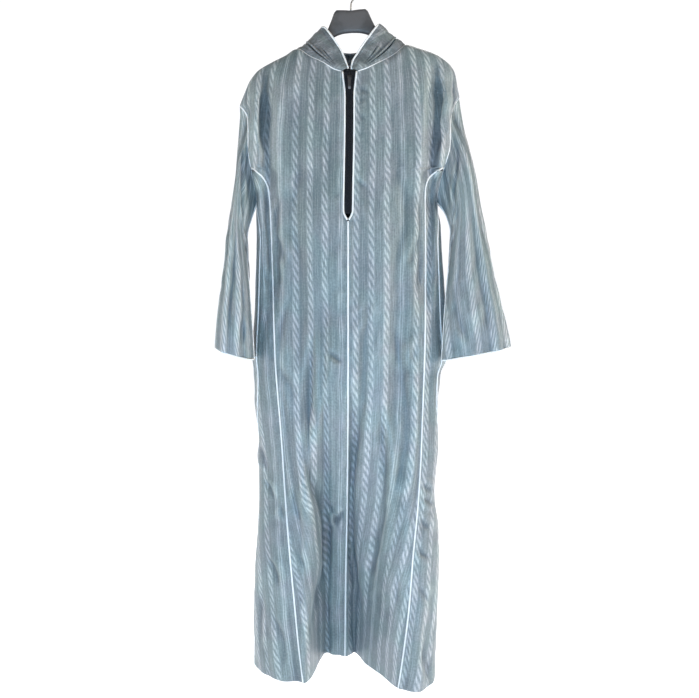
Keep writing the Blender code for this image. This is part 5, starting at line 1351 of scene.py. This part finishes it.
def repeater():
    """Geometry Nodes group that puts copies of an object along a line at even steps."""
    group = bpy.data.node_groups.new("repeat_along", "GeometryNodeTree")
    face = group.interface
    face.new_socket("Line", in_out="INPUT", socket_type="NodeSocketGeometry")
    face.new_socket("Copy", in_out="INPUT", socket_type="NodeSocketObject")
    face.new_socket("Step", in_out="INPUT", socket_type="NodeSocketFloat")
    face.new_socket("Uneven", in_out="INPUT", socket_type="NodeSocketFloat")
    face.new_socket("Material", in_out="INPUT", socket_type="NodeSocketMaterial")
    face.new_socket("Copies", in_out="OUTPUT", socket_type="NodeSocketGeometry")
    start = add_node(group, "NodeGroupInput").outputs
    curve_line = add_node(group, "GeometryNodeMeshToCurve", {"Mesh": start["Line"]})
    spread = add_node(group, "GeometryNodeResampleCurve", {
        "Curve": curve_line.outputs["Curve"], "Length": start["Step"]}, mode="LENGTH")
    points = add_node(group, "GeometryNodeCurveToPoints", {"Curve": spread.outputs[0]}, mode="EVALUATED")
    item = add_node(group, "GeometryNodeObjectInfo", {"Object": start["Copy"]})
    chance = add_node(group, "FunctionNodeRandomValue", {"Seed": 11}, data_type="FLOAT_VECTOR")
    low = add_node(group, "ShaderNodeVectorMath", {0: (1.0, 1.0, 1.0)}, operation="SCALE")
    group.links.new(start["Uneven"], low.inputs["Scale"])
    minus = add_node(group, "ShaderNodeVectorMath", {0: (0, 0, 0), 1: low.outputs[0]}, operation="SUBTRACT")
    group.links.new(minus.outputs[0], chance.inputs[0])
    group.links.new(low.outputs[0], chance.inputs[1])
    placed = add_node(group, "GeometryNodeInstanceOnPoints", {
        "Points": points.outputs["Points"], "Instance": item.outputs["Geometry"],
        "Rotation": points.outputs["Rotation"]})
    turned = add_node(group, "GeometryNodeRotateInstances", {
        "Instances": placed.outputs[0], "Rotation": chance.outputs[0]})
    real = add_node(group, "GeometryNodeRealizeInstances", {"Geometry": turned.outputs[0]})
    painted = add_node(group, "GeometryNodeSetMaterial", {
        "Geometry": real.outputs[0], "Material": start["Material"]})
    add_node(group, "NodeGroupOutput", {"Copies": painted.outputs[0]})
    return group


def repeated(name, paths, copy, step, uneven, material):
    """Plain mesh of copies along several lines, made by the repeater."""
    group = bpy.data.node_groups.get("repeat_along") or repeater()
    points, edges = [], []
    for path in paths:
        start = len(points)
        points.extend(path.tolist())
        edges.extend((start + k, start + k + 1) for k in range(len(path) - 1))
    mesh = bpy.data.meshes.new(name + "_lines")
    mesh.from_pydata(points, edges, [])
    lines = bpy.data.objects.new(name + "_lines", mesh)
    bpy.context.scene.collection.objects.link(lines)
    live = lines.modifiers.new("repeat", "NODES")
    live.node_group = group
    sockets = {item.name: item.identifier for item in group.interface.items_tree if item.in_out == "INPUT"}
    for key, value in (("Copy", copy), ("Step", step), ("Uneven", uneven), ("Material", material)):
        live[sockets[key]] = value
    bpy.context.view_layer.update()
    ready = lines.evaluated_get(bpy.context.evaluated_depsgraph_get())
    plain = bpy.data.meshes.new_from_object(ready)
    plain.name = name
    item = bpy.data.objects.new(name, plain)
    bpy.context.scene.collection.objects.link(item)
    bpy.data.objects.remove(lines, do_unlink=True)
    if not item.data.materials:
        item.data.materials.append(material)
    return item


def rod(name, long, radius, sides, flat=1.0):
    """Small capsule along Z, used as a stitch or a turn of the zip's coil."""
    rings = ((-0.5, 0.25), (-0.38, 0.9), (0.0, 1.0), (0.38, 0.9), (0.5, 0.25))
    points = []
    for height, size in rings:
        for k in range(sides):
            turn = 2 * math.pi * k / sides
            across, deep = radius * size * math.cos(turn), radius * flat * size * math.sin(turn)
            points.append((across, deep, long * height))
    mesh = bpy.data.meshes.new(name)
    mesh.from_pydata(points, [], ring_faces(len(rings), sides))
    mesh.shade_smooth()
    item = bpy.data.objects.new(name, mesh)
    bpy.context.scene.collection.objects.link(item)
    return item


# Zip


def zip_frame(height):
    """Place, up and outward directions on the middle of the zip at a height."""
    yoke_height = BRANCH_Z - top_edge(1, PLACKET_TOP, False)[1]
    v = (height - BRANCH_Z + yoke_height) / yoke_height if height > BRANCH_Z else 1 + BRANCH_Z - height
    at = zip_panel(1, np.array(0.0), np.array(v))
    below = zip_panel(1, np.array(0.0), np.array(v + 0.05))
    up = at - below
    up[0] = 0.0
    up /= np.linalg.norm(up)
    out = np.cross(up, (1.0, 0.0, 0.0))
    return at, up, (-out if out[1] > 0 else out)


def tape_piece(side, word):
    tip = 1 + BRANCH_Z - mix(ZIP_NARROW_Z, ZIP_POINT_Z, 0.2)
    rows = fine_rows()
    rows = np.append(rows[(rows < tip) & (rows > 0.0004)], tip)
    grid, u, v, along, far, width = even(
        lambda a, b: zip_panel(side, a, b), rows, 0.0, 1.0, TAPE_STEP, (0.00015, 0.0008))
    weave = np.stack([along * side, down_lengths(grid, -grid[:1, :, 2])], -1)
    # the tape's own cords beside the coil, and a soft dent where it is sewn
    shape = np.exp(-(((far - 0.0036) / 0.0008) ** 2)) * -0.00035
    shape = shape + noise(weave[..., 1] / 0.02, far / 0.006, 5) * 0.00025 * ease(far / 0.004)
    grid, normals = displaced(grid, shape, (0, -1, 0))
    tape = material_of("zip_tape_weave")
    item = shell(f"zip_tape_{word}_cloth", grid, normals, weave, [tape, tape])
    place_piece(item, "zip_tape_" + word)
    return grid, normals


def bevelled(name, points, faces, material, width, segments=2, smooth_angle=35):
    """Mesh object with rounded edges, written as plain mesh."""
    item = mesh_object(name, points, faces, [material], smooth=False)
    shape = bmesh.new()
    shape.from_mesh(item.data)
    bmesh.ops.recalc_face_normals(shape, faces=shape.faces)
    sharp = [edge for edge in shape.edges if edge.calc_face_angle(0) > math.radians(smooth_angle)]
    bmesh.ops.bevel(shape, geom=sharp, offset=width, segments=segments, profile=0.6, affect="EDGES",
                    clamp_overlap=True)
    shape.to_mesh(item.data)
    shape.free()
    item.data.shade_smooth()
    item.data.set_sharp_from_angle(angle=math.radians(38))
    return item


def slider_place(x, up, out):
    at, up_way, out_way = zip_frame(ZIP_SLIDER_Z)
    seat = at + out_way * (TAPE_WALL / 2 + SLIDER_GAP)
    return seat + np.array((x, 0.0, 0.0)) + up_way * up + out_way * out


def prism(name, rows, half_wide, material, width):
    """Solid between two copies of an outline of (up, out, narrowing) at either side."""
    count = len(rows)
    points = [slider_place(-half_wide * part, up, out) for up, out, part in rows]
    points += [slider_place(half_wide * part, up, out) for up, out, part in rows]
    faces = [tuple(range(count)), tuple(range(2 * count - 1, count - 1, -1))]
    for k in range(count):
        after = (k + 1) % count
        faces.append((k, count + k, count + after, after))
    return bevelled(name, points, faces, material, width)


# Hanger


def tilted(x, y, z):
    """Point of the hanger, turned about the hook's seat."""
    cos, sin = math.cos(HANGER_TILT), math.sin(HANGER_TILT)
    return (x * cos - z * sin, y, z * cos + x * sin)


def hanger_piece(settings):
    """Arms and hump lofted through rounded sections with a rim round a slightly sunk face."""
    knots = [row[0] for row in HANGER]
    xs = np.unique(np.concatenate([np.linspace(0, 0.2, 90), np.linspace(0.026, 0.056, 26)]))
    stations = np.concatenate([-xs[:0:-1], xs])
    points = []
    for x in stations:
        top, bottom, thick = (curve(knots, column(HANGER, HANGER_COLUMNS, name), abs(x))
                              for name in ("top", "bottom", "thick"))
        half = (top - bottom) / 2
        sunk = settings.recess * ease((half - 0.008) / 0.006)
        for k in range(HANGER_SIDES):
            turn = 2 * math.pi * (k + 0.5) / HANGER_SIDES
            cos, sin = math.cos(turn), math.sin(turn)
            across = math.copysign(abs(cos) ** HANGER_BOXY[0], cos)
            up = math.copysign(abs(sin) ** HANGER_BOXY[1], sin)
            face = ease((HANGER_FACE - abs(up)) / 0.12) * sunk
            y = across * (thick / 2 - face * abs(across) ** 4)
            points.append(tilted(x, y, (top + bottom) / 2 + up * half))
    faces = ring_faces(len(stations), HANGER_SIDES)
    item = mesh_object("hanger_moulding", points, faces, [material_of("hanger_plastic_grain")])
    item.data.set_sharp_from_angle(angle=math.radians(60))
    return item


def hook_path():
    middle = HOOK_INSIDE + HOOK_WIRE
    base = HANGER[0][1] + 0.0003
    path = [(0.0, base), (0.0, base + 0.008), (0.0015, base + 0.016), (0.008, base + 0.024)]
    for degrees in range(-42, 206, 12):
        turn = math.radians(degrees)
        path.append((middle * math.cos(turn), -HOOK_INSIDE + middle * math.sin(turn)))
    line = resampled(np.array([tilted(x, 0.0, z) for x, z in path]), 0.0012)
    return smoothed(line, 6)


# Operators


class ROBE_OT_cloth(bpy.types.Operator):
    """Builds the fronts, back, gores, sleeves and hood halves"""
    bl_idname = "robe.cloth"
    bl_label = "Cloth pieces"

    def execute(self, context):
        hems, cuffs, edges = [back_piece()], [], []
        for side, word in SIDES:
            hems.append(front_piece(side, word))
            hems.append(gore_piece(side, word, False))
            hems.append(gore_piece(side, word, True))
            cuffs.append(sleeve_piece(side, word))
            edges.append(hood_piece(side, word))
        stitch = rod("stitch_shape", STITCH[0], STITCH[2], 5)
        thread = material_of("sewing_thread")
        step = STITCH[0] + STITCH[1]
        for name, paths in (("hem_stitches", hems), ("cuff_stitches", cuffs), ("hood_stitches", edges)):
            item = repeated(name, paths, stitch, step, 0.05, thread)
            place_piece(item, None)
        bpy.data.objects.remove(stitch, do_unlink=True)
        return {"FINISHED"}


class ROBE_OT_piping(bpy.types.Operator):
    """Lays the white cords along the seams and edges"""
    bl_idname = "robe.piping"
    bl_label = "White piping"

    def execute(self, context):
        radius = context.scene.robe.trim.piping
        white = material_of("piping_twill")
        ends = {"placket": (0.0012, 0.0030), "neck": (0.0020, 0.0020), "gore": (0.0030, 0.0),
                "side": (0.0020, 0.0), "underarm": (0.0020, 0.0)}
        for name, line in seam_lines().items():
            cut = ends.get(name.split("_")[0])
            line = resampled(shorten(line, *cut) if cut else line, TRIM_STEP)
            line = smoothed(line, 2)
            seed = sum(ord(letter) for letter in name)
            size = radius * (1 + 0.05 * noise(np.arange(len(line)) / 3.0, np.zeros(len(line)), seed))
            size[-1] = size[0]
            item = tube_mesh("cord_" + name, line, size[: len(line) - (
                np.linalg.norm(line[0] - line[-1]) < 1e-6)], white, TRIM_SIDES)
            place_piece(item, "piping_" + name)
        return {"FINISHED"}


class ROBE_OT_zip(bpy.types.Operator):
    """Builds the zip's tapes, coil, slider and pull tab"""
    bl_idname = "robe.zip"
    bl_label = "Zip"

    def execute(self, context):
        sewn = []
        for side, word in SIDES:
            grid, normals = tape_piece(side, word)
            column_at = int(grid.shape[1] * 0.72)
            sewn.append((grid + normals * 0.00068)[3:-6, column_at])
        stitch = rod("tape_stitch_shape", STITCH[0] * 0.8, STITCH[2], 5)
        item = repeated("tape_stitches", sewn, stitch, STITCH[0], 0.04, material_of("coil_nylon"))
        place_piece(item, None)
        bpy.data.objects.remove(stitch, do_unlink=True)
        heights = np.linspace(ZIP_SLIDER_Z - 0.0075, ZIP_NARROW_Z - 0.004, 60)
        lines = []
        for shift in (-0.0011, 0.0011):
            spots = [zip_frame(height) for height in heights]
            lines.append(np.array([at + out * 0.0011 + np.array((shift, 0, 0)) for at, up, out in spots]))
        turn = rod("coil_turn_shape", 0.00115, TOOTH[0] / 2 + 0.0004, 6, 0.45)
        item = repeated("zip_coil", lines, turn, TOOTH_PITCH, 0.0, material_of("coil_nylon"))
        place_piece(item, None)
        bpy.data.objects.remove(turn, do_unlink=True)
        self.slider()
        return {"FINISHED"}

    def slider(self):
        dark, bright = material_of("slider_metal"), material_of("tab_metal")
        wide, deep, long = SLIDER_SIZE
        half = long / 2
        rows = [(half, 0.0, 1.0), (half, deep * 0.75, 1.0), (half * 0.72, deep, 0.96),
                (-half * 0.55, deep, 0.80), (-half, deep * 0.72, 0.70), (-half, 0.0, 0.70)]
        body = prism("slider_body", rows, wide / 2, dark, 0.00045)
        place_piece(body, "zip_slider")
        half, bar, top = 0.0035, BAIL_BAR, deep + BAIL_STAND
        sunk = deep - 0.0005
        arch = [(-half, sunk), (-half, top - bar), (-half + bar, top), (half - bar, top),
                (half, top - bar), (half, sunk), (half - bar, sunk), (half - bar, top - 1.6 * bar),
                (half - 1.6 * bar, top - bar), (-half + 1.6 * bar, top - bar),
                (-half + bar, top - 1.6 * bar), (-half + bar, sunk)]
        bail = prism("slider_bail", [(up, out, 1.0) for up, out in arch], BAIL_BAR, dark, 0.0002)
        place_piece(bail, None)
        tab = self.tab(bright)
        place_piece(tab, "zip_pull_tab", body=TAB_BODY)

    def tab(self, material):
        """Plate with a slot near its top and rounded edges, narrowing towards its gripping end."""
        _, up_way, out_way = zip_frame(ZIP_SLIDER_Z)
        pivot = slider_place(0.0, 0.0, SLIDER_SIZE[1] + (BAIL_STAND - BAIL_BAR) / 2)
        thick, half, low = TAB_THICK / 2, TAB_WIDE / 2, TAB_THICK / 2 - TAB_LONG
        hole_half, hole_top, hole_low = 0.0017, -thick, -thick - 0.0042
        outer = [(-half + 0.001, thick), (half - 0.001, thick), (half, thick - 0.001), (half, hole_low),
                 (half * 0.8, low + 0.002), (half * 0.45, low), (-half * 0.45, low),
                 (-half * 0.8, low + 0.002), (-half, hole_low), (-half, thick - 0.001)]
        hole = [(-hole_half, hole_top), (hole_half, hole_top), (hole_half, hole_low),
                (-hole_half, hole_low)]
        links = ((0, 0), (1, 1), (2, 1), (3, 2), (4, 2), (5, 2), (6, 3), (7, 3), (8, 3), (9, 0))
        points = []
        for out in (-thick, thick):
            for x, up in outer + hole:
                points.append(pivot + np.array((x, 0.0, 0.0)) + up_way * up + out_way * out)
        ring, layer = len(outer), len(outer) + len(hole)
        faces = []
        for k in range(ring):
            after = (k + 1) % ring
            a, b = links[k][1], links[after][1]
            inner = [ring + a] if a == b else [ring + b, ring + a]
            faces.append((k, after, *inner))
            faces.append(tuple(layer + j for j in reversed((k, after, *inner))))
            faces.append((k, layer + k, layer + after, after))
        for k in range(4):
            after = (k + 1) % 4
            faces.append((ring + k, ring + after, layer + ring + after, layer + ring + k))
        return bevelled("pull_tab_plate", points, faces, material, 0.00018, 2, 50)


class ROBE_OT_hanger(bpy.types.Operator):
    """Builds the moulded hanger and its wire hook"""
    bl_idname = "robe.hanger"
    bl_label = "Hanger"

    def execute(self, context):
        place_piece(hanger_piece(context.scene.robe.hanger), "hanger")
        path = hook_path()
        places = np.arange(len(path)) / (len(path) - 1)
        size = HOOK_WIRE * (1 - 0.55 * ease((places - 0.992) / 0.008))
        item = tube_mesh("hook_wire_bend", path, size, material_of("hook_wire"), 18)
        place_piece(item, "hook")
        return {"FINISHED"}


class ROBE_OT_stage(bpy.types.Operator):
    """Sets the pale floor, the soft lights and the camera"""
    bl_idname = "robe.stage"
    bl_label = "Stage"

    def execute(self, context):
        settings = context.scene.robe.stage
        self.floor(settings.floor)
        self.lights(context)
        data = bpy.data.cameras.new("photo_camera")
        data.sensor_width = 36.0
        data.lens = settings.lens
        data.clip_start = 0.05
        camera = bpy.data.objects.new("photo_camera", data)
        context.scene.collection.objects.link(camera)
        camera.location = settings.camera
        way = Vector(settings.aim) - Vector(settings.camera)
        camera.rotation_euler = way.to_track_quat("-Z", "Y").to_euler()
        context.scene.camera = camera
        return {"FINISHED"}

    def floor(self, height):
        turns = [math.tau * k / FLOOR_SIDES for k in range(FLOOR_SIDES)]
        ring = [(FLOOR_RADIUS * math.cos(turn), FLOOR_RADIUS * math.sin(turn), height) for turn in turns]
        paper = stage_white("studio_paper", "#f7f5f6")
        item = mesh_object("floor", ring, [tuple(range(FLOOR_SIDES))], [paper])

    def lights(self, context):
        world = bpy.data.worlds.new("studio")
        world.use_nodes = True
        tree = world.node_tree
        sky = tree.nodes["Background"]
        sky.inputs[0].default_value = linear("#f6f6f8")
        seen = add_node(tree, "ShaderNodeLightPath").outputs["Is Camera Ray"]
        level = add_node(tree, "ShaderNodeMapRange", {
            "Value": seen, "To Min": WORLD_LIGHT, "To Max": WORLD_SEEN}).outputs[0]
        tree.links.new(level, sky.inputs[1])
        context.scene.world = world
        context.scene.view_settings.view_transform = "Standard"
        for name, place, aim, size, power, colour in LIGHTS:
            data = bpy.data.lights.new(name, "AREA")
            data.shape = "RECTANGLE"
            data.size, data.size_y = size
            data.energy = power
            data.color = linear(colour)[:3]
            lamp = bpy.data.objects.new(name, data)
            context.scene.collection.objects.link(lamp)
            lamp.location = place
            way = Vector(aim) - Vector(place)
            lamp.rotation_euler = way.to_track_quat("-Z", "Y").to_euler()


WORLD_LIGHT = 0.13
WORLD_SEEN = 1.15        # how bright the world looks to the camera, level with the floor
FLOOR_RADIUS = 60
FLOOR_SIDES = 64
# Soft lights: place, aim, size, power and colour
LIGHTS = (
    ("left", (-1.9, -0.75, -0.1), (-0.1, 0.0, -0.75), (0.7, 1.7), 19.0, "#fff4e2"),
    ("right", (1.9, -0.85, -0.1), (0.1, 0.0, -0.75), (0.6, 1.7), 36.0, "#fff5e6"),
    ("front", (-0.5, -1.8, 1.0), (0.0, 0.0, -0.75), (1.0, 0.8), 5.0, "#fff0dc"),
    ("low", (-0.2, -1.9, -1.15), (0.0, 0.0, -1.45), (1.2, 0.5), 23.0, "#93ccf2"),
    ("rim", (0.4, 1.6, 0.6), (0.0, 0.1, -0.6), (1.4, 1.2), 16.0, "#ffffff"),
)

STEPS = ("cloth", "piping", "zip", "hanger", "stage")


class ROBE_PT_panel(bpy.types.Panel):
    """Lists the robe's building steps"""
    bl_idname = "ROBE_PT_panel"
    bl_label = "Robe"
    bl_space_type = "VIEW_3D"
    bl_region_type = "UI"
    bl_category = "Robe"

    def draw(self, context):
        for step in STEPS:
            self.layout.operator("robe." + step)


CLASSES = (ClothSettings, TrimSettings, HangerSettings, StageSettings, RobeSettings, ROBE_OT_cloth,
           ROBE_OT_piping, ROBE_OT_zip, ROBE_OT_hanger, ROBE_OT_stage, ROBE_PT_panel)


def register():
    for item in CLASSES:
        bpy.utils.register_class(item)
    bpy.types.Scene.robe = bpy.props.PointerProperty(type=RobeSettings)


def unregister():
    del bpy.types.Scene.robe
    for item in reversed(CLASSES):
        bpy.utils.unregister_class(item)


def main():
    register()
    for step in STEPS:
        getattr(bpy.ops.robe, step)()


if __name__ == "__main__":
    main()
